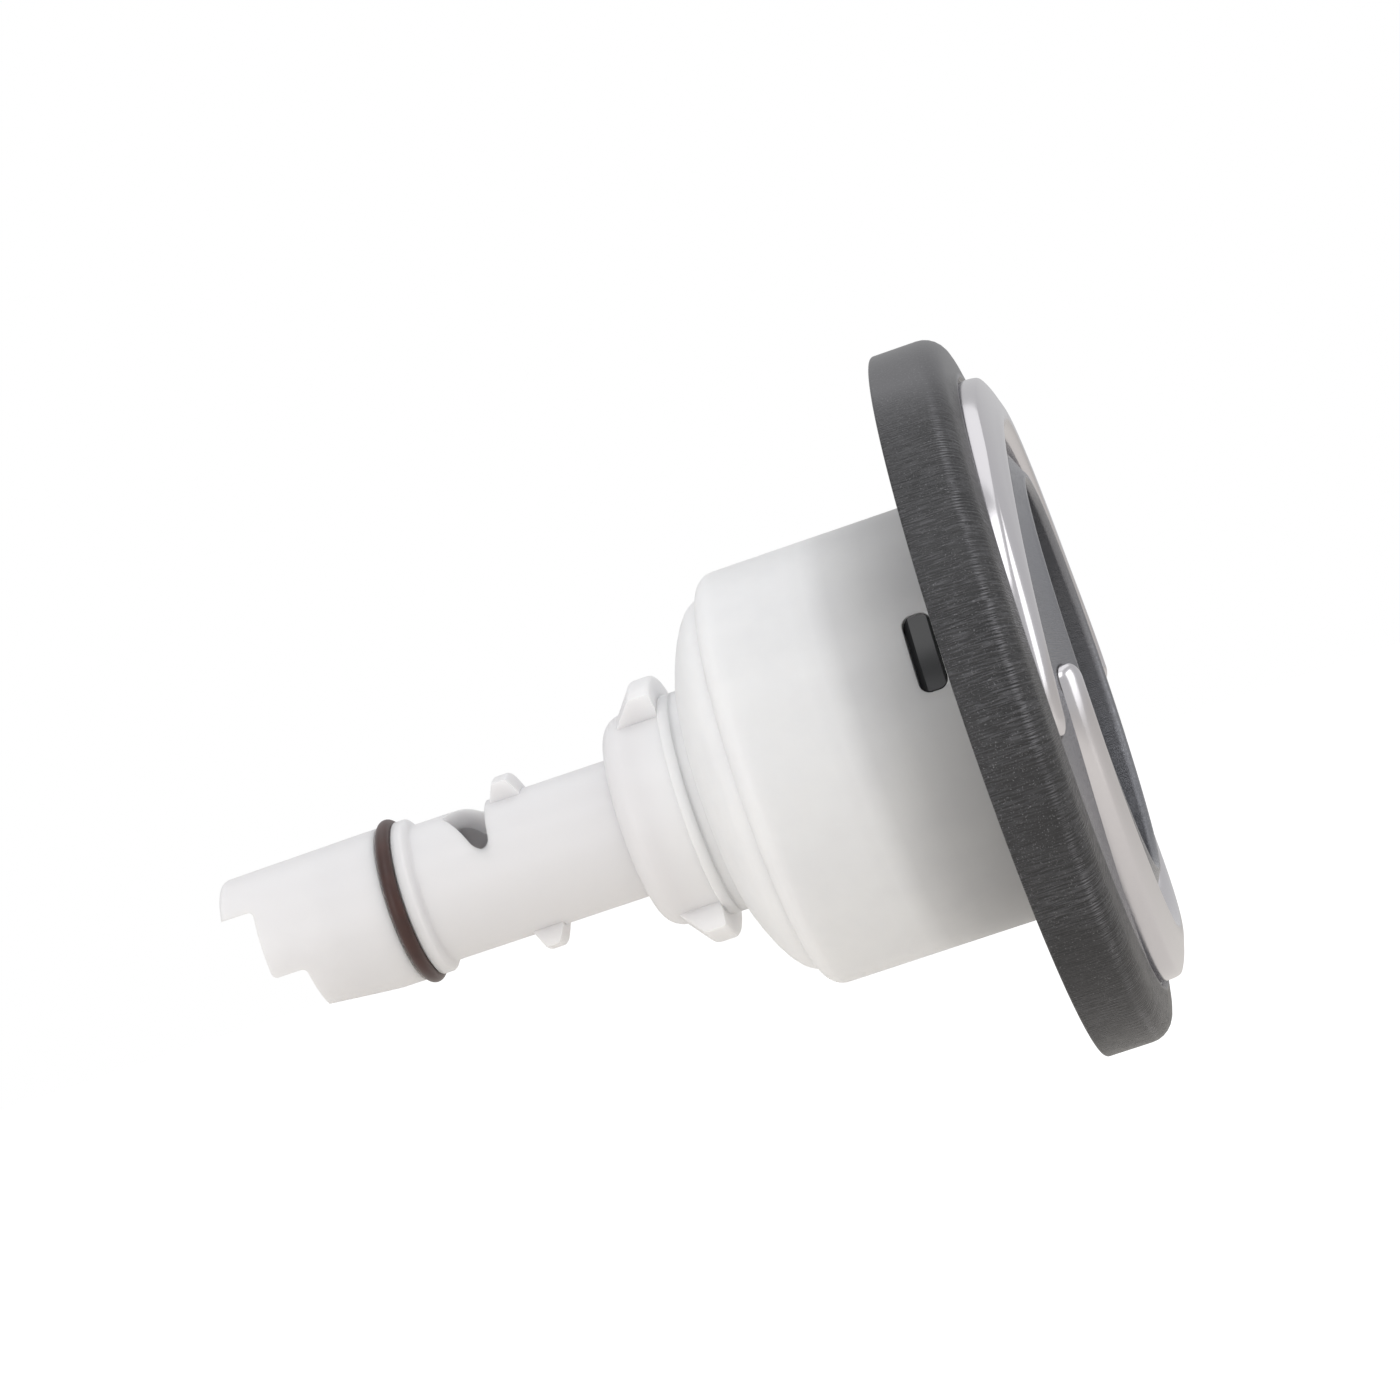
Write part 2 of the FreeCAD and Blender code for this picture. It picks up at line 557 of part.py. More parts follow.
def barrel():
    """Translucent barrel: open front, latch windows, bowl-shaped end, bearing seat and neck."""
    outer = [(BARREL_FRONT_X, BARREL_RADIUS), (BARREL_BACK_X, BARREL_RADIUS, BARREL_CORNER_ROUND)]
    outer += bowl(0.0)
    outer += [(NECK_FRONT_X, NECK_RADIUS, 0.4), (NECK_BACK_X, NECK_RADIUS)]
    inner = [
        (NECK_BACK_X, SPIGOT_BORE_RADIUS),
        (FLOOR_X, SPIGOT_BORE_RADIUS),
        (FLOOR_X, CLIP_ROOM_RADIUS),
        (BEARING_BACK_X, CLIP_ROOM_RADIUS),
        (BEARING_BACK_X, SEAT_BORE_RADIUS),
        (BEARING_FRONT_X, SEAT_BORE_RADIUS),
        (BEARING_FRONT_X, SEAT_OUTER_RADIUS),
        (FLOOR_X, SEAT_OUTER_RADIUS, 0.3),
    ]
    inner += [corner for corner in reversed(bowl(BARREL_WALL)) if corner[1] > SEAT_OUTER_RADIUS + 1.0]
    inner += [(BARREL_BACK_X + BARREL_WALL, BARREL_INNER_RADIUS, 1.8), (BARREL_FRONT_X, BARREL_INNER_RADIUS)]
    shell = turned(outer + inner)
    window = latch_block(WINDOW_CLEARANCE, BARREL_INNER_RADIUS - BARREL_WALL, BARREL_RADIUS + BARREL_WALL)
    return shell.cut(pattern(window, LATCH_COUNT, LATCH_FIRST_ANGLE - 90.0))


def race(inner_radius, outer_radius):
    """A bearing race: a ring with the track that the balls run in."""
    body = ring(BEARING_BACK_X, BEARING_FRONT_X, inner_radius, outer_radius)
    middle = (BEARING_BACK_X + BEARING_FRONT_X) / 2
    centre = FreeCAD.Vector(middle, 0, 0)
    track = Part.makeTorus(BALL_PITCH_RADIUS, BALL_RADIUS + BALL_CLEARANCE, centre, X_AXIS)
    return body.cut(track)


def bearing_balls():
    """The balls, evenly spaced on their pitch circle."""
    middle = (BEARING_BACK_X + BEARING_FRONT_X) / 2
    ball = Part.makeSphere(BALL_RADIUS, meridian(middle, BALL_PITCH_RADIUS))
    return Part.makeCompound(pattern(ball, BALL_COUNT))


def bearing_cage():
    """The cage that spaces the balls: a ring with a round pocket for each."""
    middle = (BEARING_BACK_X + BEARING_FRONT_X) / 2
    half = BALL_RADIUS + BALL_CLEARANCE + CAGE_SIDE
    inner = BALL_PITCH_RADIUS - CAGE_WALL / 2
    body = ring(middle - half, middle + half, inner, inner + CAGE_WALL)
    start = meridian(middle, BALL_PITCH_RADIUS - CAGE_WALL)
    pocket = Part.makeCylinder(BALL_RADIUS + BALL_CLEARANCE, 2 * CAGE_WALL, start, FreeCAD.Vector(0, 0, 1))
    return body.cut(pattern(pocket, BALL_COUNT))


def bearing_retainer():
    """Cap that clips over the barrel's seat and holds the outer race."""
    skirt_inner = SEAT_OUTER_RADIUS + RETAINER_CLEARANCE
    skirt_outer = skirt_inner + RETAINER_SKIRT_WALL
    front = BEARING_FRONT_X + RETAINER_LIP
    back = BEARING_FRONT_X - RETAINER_SKIRT_DEPTH
    body = turned([
        (back, skirt_inner),
        (back, skirt_outer, 0.5),
        (front, skirt_outer, 0.8),
        (front, BEARING_RADIUS - RETAINER_LIP_OVERLAP, 0.5),
        (BEARING_FRONT_X, BEARING_RADIUS - RETAINER_LIP_OVERLAP),
        (BEARING_FRONT_X, skirt_inner),
    ])
    notch = Part.makeBox(
        RETAINER_SKIRT_DEPTH, NOTCH_WIDTH, 2 * RETAINER_SKIRT_WALL + 1.0,
        FreeCAD.Vector(back - RETAINER_LIP, -NOTCH_WIDTH / 2, skirt_inner - RETAINER_SKIRT_WALL / 2),
    )
    return body.cut(pattern(notch, RETAINER_NOTCHES))


def snap_ring(x, groove_radius, thickness, outer_radius):
    """An open spring ring that sits in a groove."""
    inner = groove_radius + SNAP_RING_FIT
    half = thickness / 2
    body = ring(x - half, x + half, inner, outer_radius)
    back = x - thickness
    front = x + thickness
    below = inner - 1.0
    above = outer_radius + 1.0
    outline = [(back, below), (back, above), (front, above), (front, below)]
    gap = turned(outline, 270.0 - SNAP_RING_GAP_ANGLE / 2, SNAP_RING_GAP_ANGLE)
    return body.cut(gap)


def groove(x, width, bottom_radius, top_radius):
    """A square groove to cut round a turned piece."""
    return ring(x - width / 2, x + width / 2, bottom_radius, top_radius)


def rotor_cup():
    """Rotor's rear half: hollow hub, flange against the bearing and a cone that opens to the front."""
    cone_inner = HUB_BORE_RADIUS + 1.5
    body = turned([
        (HUB_BACK_X, HUB_BORE_RADIUS),
        (HUB_BACK_X, HUB_RADIUS, 0.3),
        (WASHER_FRONT_X, HUB_RADIUS),
        (WASHER_FRONT_X, FLANGE_RADIUS),
        (CUP_CONE_X, FLANGE_RADIUS + 1.0, 1.5),
        (CUP_RIM_X, CUP_RADIUS, 6.0),
        (CUP_FRONT_X, CUP_RADIUS),
        (CUP_FRONT_X, CUP_INNER_RADIUS),
        (CUP_RIM_X, CUP_INNER_RADIUS, 5.0),
        (CUP_CONE_X + CUP_WALL, cone_inner, 2.0),
        (CUP_CONE_X - CUP_WALL / 2, HUB_BORE_RADIUS, 2.0),
    ])
    groove_width = SNAP_RING_THICKNESS + 2 * SNAP_RING_FIT
    return body.cut(groove(HUB_RING_X, groove_width, HUB_GROOVE_RADIUS, HUB_RADIUS + 1.0))


def outlet_place(shape):
    """Moves a piece drawn along X at the origin to the first outlet, tilted so that the water turns it."""
    copy = shape.copy()
    copy.rotate(ORIGIN, FreeCAD.Vector(0, 0, 1), OUTLET_TILT)
    copy.translate(FreeCAD.Vector(ROTOR_FACE_X, 0, OUTLET_PITCH_RADIUS))
    return copy


def rotor_face():
    """Rotor's front half: a disc with a round nose, a spigot in the cup and two tilted outlet sockets."""
    spigot = CUP_INNER_RADIUS - OUTLET_FIT
    body = turned([
        (CUP_FRONT_X - ROTOR_FACE_SPIGOT, 0.0),
        (CUP_FRONT_X - ROTOR_FACE_SPIGOT, spigot, 0.4),
        (CUP_FRONT_X, spigot),
        (CUP_FRONT_X, ROTOR_FACE_RADIUS, 0.5),
        (ROTOR_FACE_X, ROTOR_FACE_RADIUS, 1.4),
        (ROTOR_FACE_X, ROTOR_NOSE_RADIUS, 2.5),
        (ROTOR_FACE_X + ROTOR_NOSE_HEIGHT, ROTOR_NOSE_RADIUS * 0.6, 2.5),
        (ROTOR_FACE_X + ROTOR_NOSE_HEIGHT, 0.0),
    ])
    relief = turned([
        (CUP_FRONT_X - ROTOR_FACE_SPIGOT - 1.0, 0.0),
        (CUP_FRONT_X - ROTOR_FACE_SPIGOT - 1.0, spigot - CUP_WALL),
        (CUP_FRONT_X, spigot - CUP_WALL, 0.8),
        (CUP_FRONT_X, 0.0),
    ])
    body = body.cut(relief)
    tube = OUTLET_RADIUS + OUTLET_FIT
    boss_radius = OUTLET_FLANGE_RADIUS + OUTLET_BOSS_EDGE
    boss_back = -ROTOR_FACE_THICKNESS - OUTLET_BOSS_BACK
    boss = Part.makeCylinder(boss_radius, OUTLET_SEAT - boss_back, FreeCAD.Vector(boss_back, 0, 0), X_AXIS)
    reach = 2 * ROTOR_FACE_RADIUS
    spotface = Part.makeCylinder(boss_radius, reach, FreeCAD.Vector(OUTLET_SEAT, 0, 0), X_AXIS)
    hole = Part.makeCylinder(tube, 2 * reach, FreeCAD.Vector(-reach, 0, 0), X_AXIS)
    boss, spotface, hole = [outlet_place(shape) for shape in (boss, spotface, hole)]
    body = body.fuse([boss, around_x(boss, 180.0)])
    outside = ring(CUP_FRONT_X - ROTOR_FACE_RADIUS, CUP_FRONT_X, spigot, 2 * ROTOR_FACE_RADIUS)
    sockets = [spotface, hole, around_x(spotface, 180.0), around_x(hole, 180.0)]
    return body.cut(sockets + [outside]).removeSplitter()


def outlet():
    """One outlet: a tilted tube with a flange that seats on its boss."""
    seat = OUTLET_SEAT + OUTLET_FIT
    tube = OUTLET_RADIUS
    body = turned([
        (-OUTLET_BACK, OUTLET_BORE_RADIUS + 0.6, 0.4),
        (-OUTLET_BACK, tube, 0.4),
        (seat, tube),
        (seat, OUTLET_FLANGE_RADIUS, 0.4),
        (seat + OUTLET_FLANGE_THICKNESS, OUTLET_FLANGE_RADIUS, 1.0),
        (seat + OUTLET_FLANGE_THICKNESS + OUTLET_FRONT, tube, 1.0),
        (seat + OUTLET_FLANGE_THICKNESS + OUTLET_FRONT, OUTLET_BORE_RADIUS, 0.4),
    ])
    return outlet_place(body)


def stem_profile():
    """The stem's turned form: spigot, neck collar, shoulder, tube, flange and inlet end, with its bore."""
    recess_x = HUB_BACK_X - RUNNING_GAP
    return turned([
        (SPIGOT_FRONT_X, HUB_RADIUS + RUNNING_GAP),
        (SPIGOT_FRONT_X, SPIGOT_RADIUS, 0.5),
        (NECK_BACK_X, SPIGOT_RADIUS),
        (NECK_BACK_X, NECK_RADIUS, 0.3),
        (STEM_SHOULDER_X, NECK_RADIUS, 0.3),
        (STEM_SHOULDER_X, STEM_SHOULDER_RADIUS),
        (STEM_TUBE_X, STEM_SHOULDER_RADIUS, STEM_SHOULDER_ROUND),
        (STEM_TUBE_X, STEM_RADIUS, 0.8),
        (STEM_FLANGE_X, STEM_RADIUS, 0.8),
        (STEM_FLANGE_X - FLANGE_RAMP, STEM_END_RADIUS, 0.8),
        (STEM_LAND_X, STEM_END_RADIUS),
        (STEM_END_X, STEM_END_RADIUS - STEM_END_TAPER, STEM_END_ROUND),
        (STEM_END_X, STEM_INLET_RADIUS, 0.5),
        (NOZZLE_BACK_X, STEM_INLET_RADIUS),
        (NOZZLE_BACK_X, STEM_BORE_RADIUS + NOZZLE_FIT),
        (NECK_BACK_X - STEM_TAPER_LENGTH, STEM_BORE_RADIUS, 2.0),
        (NECK_BACK_X, STEM_FRONT_BORE_RADIUS, 2.0),
        (recess_x, STEM_FRONT_BORE_RADIUS),
        (recess_x, HUB_RADIUS + RUNNING_GAP),
    ])


def bayonet_lug():
    """One large lug on the neck: a flat crest and a lead-in ramp behind it."""
    front = STEM_SHOULDER_X
    return turned([
        (front, STEM_SHOULDER_RADIUS - 1.0),
        (front, LUG_RADIUS, 0.8),
        (front - LUG_FLAT, LUG_RADIUS, 1.2),
        (front - LUG_FLAT - LUG_RAMP, STEM_SHOULDER_RADIUS, 0.5),
        (front - LUG_FLAT - LUG_RAMP, STEM_SHOULDER_RADIUS - 1.0),
    ], 90.0 - LUG_SPAN / 2, LUG_SPAN)


def key_lug():
    """One small lug on the tube, with sloping flanks."""
    flank = (KEY_LENGTH - KEY_CREST) / 2
    return turned([
        (KEY_FRONT_X, STEM_RADIUS - 1.0),
        (KEY_FRONT_X, STEM_RADIUS + KEY_FOOT, 0.3),
        (KEY_FRONT_X - flank, KEY_RADIUS, 0.7),
        (KEY_FRONT_X - flank - KEY_CREST, KEY_RADIUS, 0.7),
        (KEY_FRONT_X - KEY_LENGTH, STEM_RADIUS + KEY_FOOT, 0.3),
        (KEY_FRONT_X - KEY_LENGTH, STEM_RADIUS - 1.0),
    ], 90.0 - KEY_SPAN / 2, KEY_SPAN)


def port_cutter():
    """The tear-shaped port that lets air into the stream, wide at its front and pointed at its back."""
    half = STEM_RADIUS * math.sin(math.radians(PORT_HALF_ANGLE))
    outline = [
        (PORT_FRONT_X, -half, PORT_ROUND),
        (PORT_FRONT_X, half, PORT_ROUND),
        (PORT_FRONT_X - 0.35 * PORT_LENGTH, half * 0.9, 2 * PORT_ROUND),
        (PORT_BACK_X, 0.0, PORT_ROUND),
        (PORT_FRONT_X - 0.35 * PORT_LENGTH, -half * 0.9, 2 * PORT_ROUND),
    ]
    low = STEM_RADIUS * math.cos(math.radians(PORT_HALF_ANGLE)) - 2.5
    wire = rounded_wire(outline, lambda a, b: FreeCAD.Vector(a, b, low))
    cutter = Part.Face(wire).extrude(FreeCAD.Vector(0, 0, 2 * STEM_RADIUS))
    return around_x(cutter, PORT_ANGLE - 90.0)


def stepped_end_cutter():
    """What is cut from the inlet end, so that it steps from a long finger to a short lower lip."""
    far = STEM_END_X - 5.0
    wide = 2 * STEM_END_RADIUS
    outline = [
        (far, FINGER_HEIGHT),
        (FINGER_X, FINGER_HEIGHT, STEP_ROUND),
        (FINGER_X, LIP_HEIGHT, STEP_ROUND),
        (LIP_X, LIP_HEIGHT, STEP_ROUND),
        (LIP_X + 1.0, -wide),
        (far, -wide),
    ]
    cutter = Part.Face(rounded_wire(outline)).extrude(FreeCAD.Vector(0, 2 * wide, 0))
    cutter.translate(FreeCAD.Vector(0, -wide, 0))
    return cutter


def relief_cutter():
    """The shallow ramp under the inlet end that eases it into its socket."""
    end = LIP_X - RELIEF_OVERRUN
    low = -STEM_END_RADIUS
    wide = 2 * STEM_END_RADIUS
    under = low - RELIEF_DEPTH
    outline = [(STEM_LAND_X, low), (end, low + RELIEF_DEPTH), (end, under), (STEM_LAND_X, under)]
    cutter = Part.Face(rounded_wire(outline)).extrude(FreeCAD.Vector(0, 2 * wide, 0))
    cutter.translate(FreeCAD.Vector(0, -wide, 0))
    return cutter


def stem():
    """Stem: spigot into the neck, bayonet and key lugs, air port, seal grooves and stepped inlet end."""
    neck_groove = groove(
        NECK_SEAL_X, NECK_SEAL_GROOVE_WIDTH, NECK_SEAL_INNER_RADIUS - SNAP_RING_FIT, SPIGOT_RADIUS + 0.5
    )
    clip_width = NECK_CLIP_THICKNESS + 2 * SNAP_RING_FIT
    body = stem_profile()
    body = body.fuse([bayonet_lug(), around_x(bayonet_lug(), 180.0), key_lug(), around_x(key_lug(), 180.0)])
    return body.cut([
        port_cutter(),
        stepped_end_cutter(),
        relief_cutter(),
        groove(SEAL_X, SEAL_GROOVE_WIDTH, SEAL_INNER_RADIUS - SNAP_RING_FIT, STEM_END_RADIUS + 2.0),
        neck_groove,
        groove(NECK_CLIP_X, clip_width, NECK_CLIP_GROOVE_RADIUS, SPIGOT_RADIUS + 1.0),
    ]).removeSplitter()


def seal(x, inner_radius, section_radius):
    """A round-section seal that sits in a groove."""
    return Part.makeTorus(inner_radius + section_radius, section_radius, FreeCAD.Vector(x, 0, 0), X_AXIS)


def suction_nozzle():
    """Nozzle pushed in from the inlet: it narrows the stream just before the air port."""
    back = NOZZLE_BACK_X
    body_radius = STEM_BORE_RADIUS
    flange = STEM_INLET_RADIUS - NOZZLE_FIT
    throat_x = NOZZLE_TIP_X - NOZZLE_THROAT_LENGTH
    return turned([
        (back - NOZZLE_FLANGE, body_radius - NOZZLE_WALL / 4),
        (back - NOZZLE_FLANGE, flange, 0.3),
        (back, flange),
        (back, body_radius),
        (throat_x - NOZZLE_CONE, body_radius, 1.0),
        (NOZZLE_TIP_X, NOZZLE_THROAT_RADIUS + NOZZLE_WALL / 2),
        (NOZZLE_TIP_X, NOZZLE_THROAT_RADIUS),
        (throat_x, NOZZLE_THROAT_RADIUS, 2.0),
        (back + 2 * NOZZLE_FLANGE, body_radius - NOZZLE_WALL, 3.0),
    ])


def build():
    """Every piece, by name."""
    first_trim = trim()
    first_outlet = outlet()
    hub_ring_edge = HUB_RADIUS + SNAP_RING_PROUD
    clip_edge = SPIGOT_RADIUS + NECK_CLIP_PROUD
    return {
        "bezel": bezel(),
        "trim_upper": first_trim,
        "trim_lower": around_x(first_trim, 180.0),
        "latch_collar": latch_collar(),
        "barrel": barrel(),
        "bearing_outer_race": race(BEARING_RADIUS - RACE_WALL, BEARING_RADIUS),
        "bearing_inner_race": race(BEARING_BORE_RADIUS, BEARING_BORE_RADIUS + RACE_WALL),
        "bearing_balls": bearing_balls(),
        "bearing_cage": bearing_cage(),
        "bearing_retainer": bearing_retainer(),
        "thrust_washer": ring(BEARING_FRONT_X, WASHER_FRONT_X, HUB_RADIUS + BEARING_FIT, WASHER_RADIUS),
        "hub_snap_ring": snap_ring(HUB_RING_X, HUB_GROOVE_RADIUS, SNAP_RING_THICKNESS, hub_ring_edge),
        "rotor_cup": rotor_cup(),
        "rotor_face": rotor_face(),
        "outlet_upper": first_outlet,
        "outlet_lower": around_x(first_outlet, 180.0),
        "stem": stem(),
        "neck_clip": snap_ring(NECK_CLIP_X, NECK_CLIP_GROOVE_RADIUS, NECK_CLIP_THICKNESS, clip_edge),
        "neck_seal": seal(NECK_SEAL_X, NECK_SEAL_INNER_RADIUS, NECK_SEAL_SECTION_RADIUS),
        "stem_seal": seal(SEAL_X, SEAL_INNER_RADIUS, SEAL_SECTION_RADIUS),
        "suction_nozzle": suction_nozzle(),
    }


os.makedirs("parts", exist_ok=True)
for name, shape in build().items():
    if not shape.isValid():
        print("not valid:", name)
    print(name, "solids", len(shape.Solids), "volume", round(shape.Volume, 1))
    shape.exportStep("parts/" + name + ".step")
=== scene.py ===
"""Hot tub jet insert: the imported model, dressed with finished surfaces, materials, light and a camera.

Everything is in metres in the part's own frame: +X out of the wall along the jet, +Z up, the origin in the plane of
the face's back edge. A clock angle starts at the near side, -Y, and runs up over the top, +Z. Profiles and trims are
drawn in millimetres as (x, radius) and turned about the X axis.
"""
import json

import bpy
import numpy as np
from mathutils import Matrix

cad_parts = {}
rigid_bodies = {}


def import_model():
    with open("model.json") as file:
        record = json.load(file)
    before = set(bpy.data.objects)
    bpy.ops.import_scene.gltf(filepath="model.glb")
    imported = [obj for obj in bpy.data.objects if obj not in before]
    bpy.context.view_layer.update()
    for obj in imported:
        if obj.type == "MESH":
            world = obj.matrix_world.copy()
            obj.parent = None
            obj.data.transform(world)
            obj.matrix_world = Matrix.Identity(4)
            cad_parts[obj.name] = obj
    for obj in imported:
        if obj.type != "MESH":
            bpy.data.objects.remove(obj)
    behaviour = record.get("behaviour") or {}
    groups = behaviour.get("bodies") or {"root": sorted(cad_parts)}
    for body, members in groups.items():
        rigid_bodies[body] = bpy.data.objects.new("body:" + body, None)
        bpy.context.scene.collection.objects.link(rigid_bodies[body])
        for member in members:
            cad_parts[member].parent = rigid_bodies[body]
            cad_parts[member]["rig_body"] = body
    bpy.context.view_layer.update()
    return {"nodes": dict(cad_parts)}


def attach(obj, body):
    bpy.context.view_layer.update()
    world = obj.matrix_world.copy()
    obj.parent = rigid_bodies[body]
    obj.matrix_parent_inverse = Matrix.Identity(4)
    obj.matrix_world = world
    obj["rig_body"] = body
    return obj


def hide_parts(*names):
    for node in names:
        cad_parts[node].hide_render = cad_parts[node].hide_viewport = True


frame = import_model()
MM = 0.001

# The camera and the light.
# A long lens stands 0.8 m from the side of the face, a little in front of it and level with the axis. The jet's own
# axis rises 19 degrees to the right in the picture, so the camera is rolled. Soft boxes stand round a white room.
camera_right = (0.9378, 0.1306, -0.3218)
camera_up = (0.3187, 0.0444, 0.9468)
camera_back = (0.1380, -0.9904, 0.0)
camera_data = bpy.data.cameras.new("camera")
camera_data.lens = 117.9
camera_data.sensor_width = 36.0
camera = bpy.data.objects.new("camera", camera_data)
turn = Matrix((camera_right, camera_up, camera_back)).transposed()
camera.matrix_world = Matrix.Translation((62.4 * MM, -789.8 * MM, 17.1 * MM)) @ turn.to_4x4()
bpy.context.scene.collection.objects.link(camera)
bpy.context.scene.camera = camera
bpy.context.scene.view_settings.view_transform = "Standard"


def linear(hex_colour, alpha=1.0):
    """An sRGB hex colour as linear numbers: each channel c becomes ((c + 0.055) / 1.055) ** 2.4."""
    channels = np.array([int(hex_colour[index:index + 2], 16) for index in (0, 2, 4)]) / 255.0
    low = channels / 12.92
    high = ((channels + 0.055) / 1.055) ** 2.4
    return (*np.where(channels <= 0.04045, low, high), alpha)


def add_node(tree, kind, settings=None, **inputs):
    """Adds a node, sets its properties, and gives each input a value or a link from another node's output. An input
    called slot_6 is the seventh one, for nodes whose inputs share a name."""
    node = tree.nodes.new(kind)
    for name, value in (settings or {}).items():
        setattr(node, name, value)
    for name, value in inputs.items():
        key = name.replace("_", " ")
        socket = node.inputs[int(key[5:])] if key.startswith("slot ") else node.inputs[key]
        if isinstance(value, bpy.types.NodeSocket):
            tree.links.new(value, socket)
        else:
            socket.default_value = value
    return node


world = bpy.data.worlds.new("studio")
world.use_nodes = True
bpy.context.scene.world = world
sky = world.node_tree
sky.nodes.clear()
path = add_node(sky, "ShaderNodeLightPath")
seen = add_node(
    sky, "ShaderNodeMath", {"operation": "MAXIMUM"},
    slot_0=path.outputs["Is Camera Ray"], slot_1=path.outputs["Is Transmission Ray"],
)
room = add_node(sky, "ShaderNodeBackground", Color=linear("F7F7F8"), Strength=0.7)
backdrop = add_node(sky, "ShaderNodeBackground", Color=linear("FFFFFF"), Strength=1.0)
choice = add_node(
    sky, "ShaderNodeMixShader", Fac=seen.outputs[0], slot_1=room.outputs[0], slot_2=backdrop.outputs[0],
)
add_node(sky, "ShaderNodeOutputWorld", Surface=choice.outputs[0])


def softbox(name, place, aim, width, height, watts):
    """A rectangular soft light that faces a point."""
    data = bpy.data.lights.new(name, "AREA")
    data.shape = "RECTANGLE"
    data.size = width
    data.size_y = height
    data.energy = watts
    light = bpy.data.objects.new(name, data)
    back = np.array(place, float) - np.array(aim, float)
    back /= np.linalg.norm(back)
    side = np.cross((0.0, 0.0, 1.0), back)
    side /= np.linalg.norm(side)
    facing = Matrix((side, np.cross(back, side), back)).transposed()
    light.matrix_world = Matrix.Translation(place) @ facing.to_4x4()
    bpy.context.scene.collection.objects.link(light)


softbox("key", (0.05, -0.75, 0.95), (-0.03, 0, 0), 0.9, 0.6, 2.5)
softbox("fill", (-0.5, -0.95, 0.05), (-0.03, 0, 0), 0.9, 0.9, 3.0)
softbox("front", (0.95, -0.35, 0.35), (0.0, 0, 0), 0.6, 0.8, 2.0)
softbox("top", (0.1, 0.25, 1.1), (0.0, 0, 0), 1.2, 1.0, 2.0)

# The floor.
# A sheet of white paper lies under the jet, far enough down to keep its shadow soft. The camera sees it as white,
# and what it throws back on the object is dimmer and a little warm.
FLOOR_HEIGHT = -0.16
FLOOR_REACH = 4.0
floor_mesh = bpy.data.meshes.new("floor")
corners = [
    (-FLOOR_REACH, -FLOOR_REACH, FLOOR_HEIGHT), (FLOOR_REACH, -FLOOR_REACH, FLOOR_HEIGHT),
    (FLOOR_REACH, FLOOR_REACH, FLOOR_HEIGHT), (-FLOOR_REACH, FLOOR_REACH, FLOOR_HEIGHT),
]
floor_mesh.from_pydata(corners, [], [(0, 1, 2, 3)])
floor = bpy.data.objects.new("floor", floor_mesh)
bpy.context.scene.collection.objects.link(floor)
paper = bpy.data.materials.new("white_paper")
paper.use_nodes = True
sheet = paper.node_tree
sheet.nodes.clear()
path = add_node(sheet, "ShaderNodeLightPath")
matt = add_node(sheet, "ShaderNodeBsdfDiffuse", Color=linear("F4F4F4"))
bounce = add_node(sheet, "ShaderNodeBsdfDiffuse", Color=linear("F2EEE8"))
glow = add_node(sheet, "ShaderNodeEmission", Color=linear("FFFFFF"), Strength=0.52)
lit = add_node(sheet, "ShaderNodeAddShader", slot_0=matt.outputs[0], slot_1=glow.outputs[0])
chosen = add_node(
    sheet, "ShaderNodeMixShader",
    Fac=path.outputs["Is Camera Ray"], slot_1=bounce.outputs[0], slot_2=lit.outputs[0],
)
add_node(sheet, "ShaderNodeOutputMaterial", Surface=chosen.outputs[0])
floor_mesh.materials.append(paper)

# The barrel and the stem.
# Both are moulded in natural polypropylene, a milky plastic about 2 mm thick that lets light wander through it.
# Where the dark collar sits behind the wall, its soft grey shade is painted into the barrel's colour as well.


def new_material(name):
    """An empty material with a Principled shader, its node tree, and the shader."""
    material = bpy.data.materials.new(name)
    material.use_nodes = True
    tree = material.node_tree
    tree.nodes.clear()
    shader = add_node(tree, "ShaderNodeBsdfPrincipled")
    add_node(tree, "ShaderNodeOutputMaterial", Surface=shader.outputs[0])
    return material, tree, shader


def cells(size):
    """A pattern's scale: how many of its cells, each this many millimetres wide, lie in a metre."""
    return 1.0 / (size * MM)


def add_ramp(tree, factor, stops):
    """A colour ramp with one stop for each (position, hex colour or linear grey)."""
    node = add_node(tree, "ShaderNodeValToRGB", Fac=factor)
    elements = node.color_ramp.elements
    for index, (position, shade) in enumerate(stops):
        element = elements[index] if index < 2 else elements.new(position)
        element.position = position
        element.color = linear(shade) if isinstance(shade, str) else (shade, shade, shade, 1.0)
    return node.outputs["Color"]


def merged_copy(node, material, sharp_angle=32.0):
    """A CAD node's surface as one joined mesh: equal corners of its loose triangles become one vertex, and every
    edge below the sharp angle is shaded smooth."""
    source = frame["nodes"][node].data
    points = np.empty(len(source.vertices) * 3, np.float32)
    source.vertices.foreach_get("co", points)
    loops = np.empty(len(source.loops), np.int32)
    source.loops.foreach_get("vertex_index", loops)
    merged, index = np.unique(points.reshape(-1, 3), axis=0, return_inverse=True)
    faces = index.reshape(-1)[loops].reshape(-1, 3)
    whole = (faces[:, 0] != faces[:, 1]) & (faces[:, 1] != faces[:, 2]) & (faces[:, 2] != faces[:, 0])
    mesh = bpy.data.meshes.new(node + "_surface")
    mesh.from_pydata(merged.tolist(), [], faces[whole].tolist())
    mesh.materials.append(material)
    mesh.shade_smooth()
    mesh.set_sharp_from_angle(angle=np.radians(sharp_angle))
    piece = bpy.data.objects.new(node + "_moulding", mesh)
    bpy.context.scene.collection.objects.link(piece)
    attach(piece, frame["nodes"][node]["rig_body"])
    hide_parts(node)
    return piece
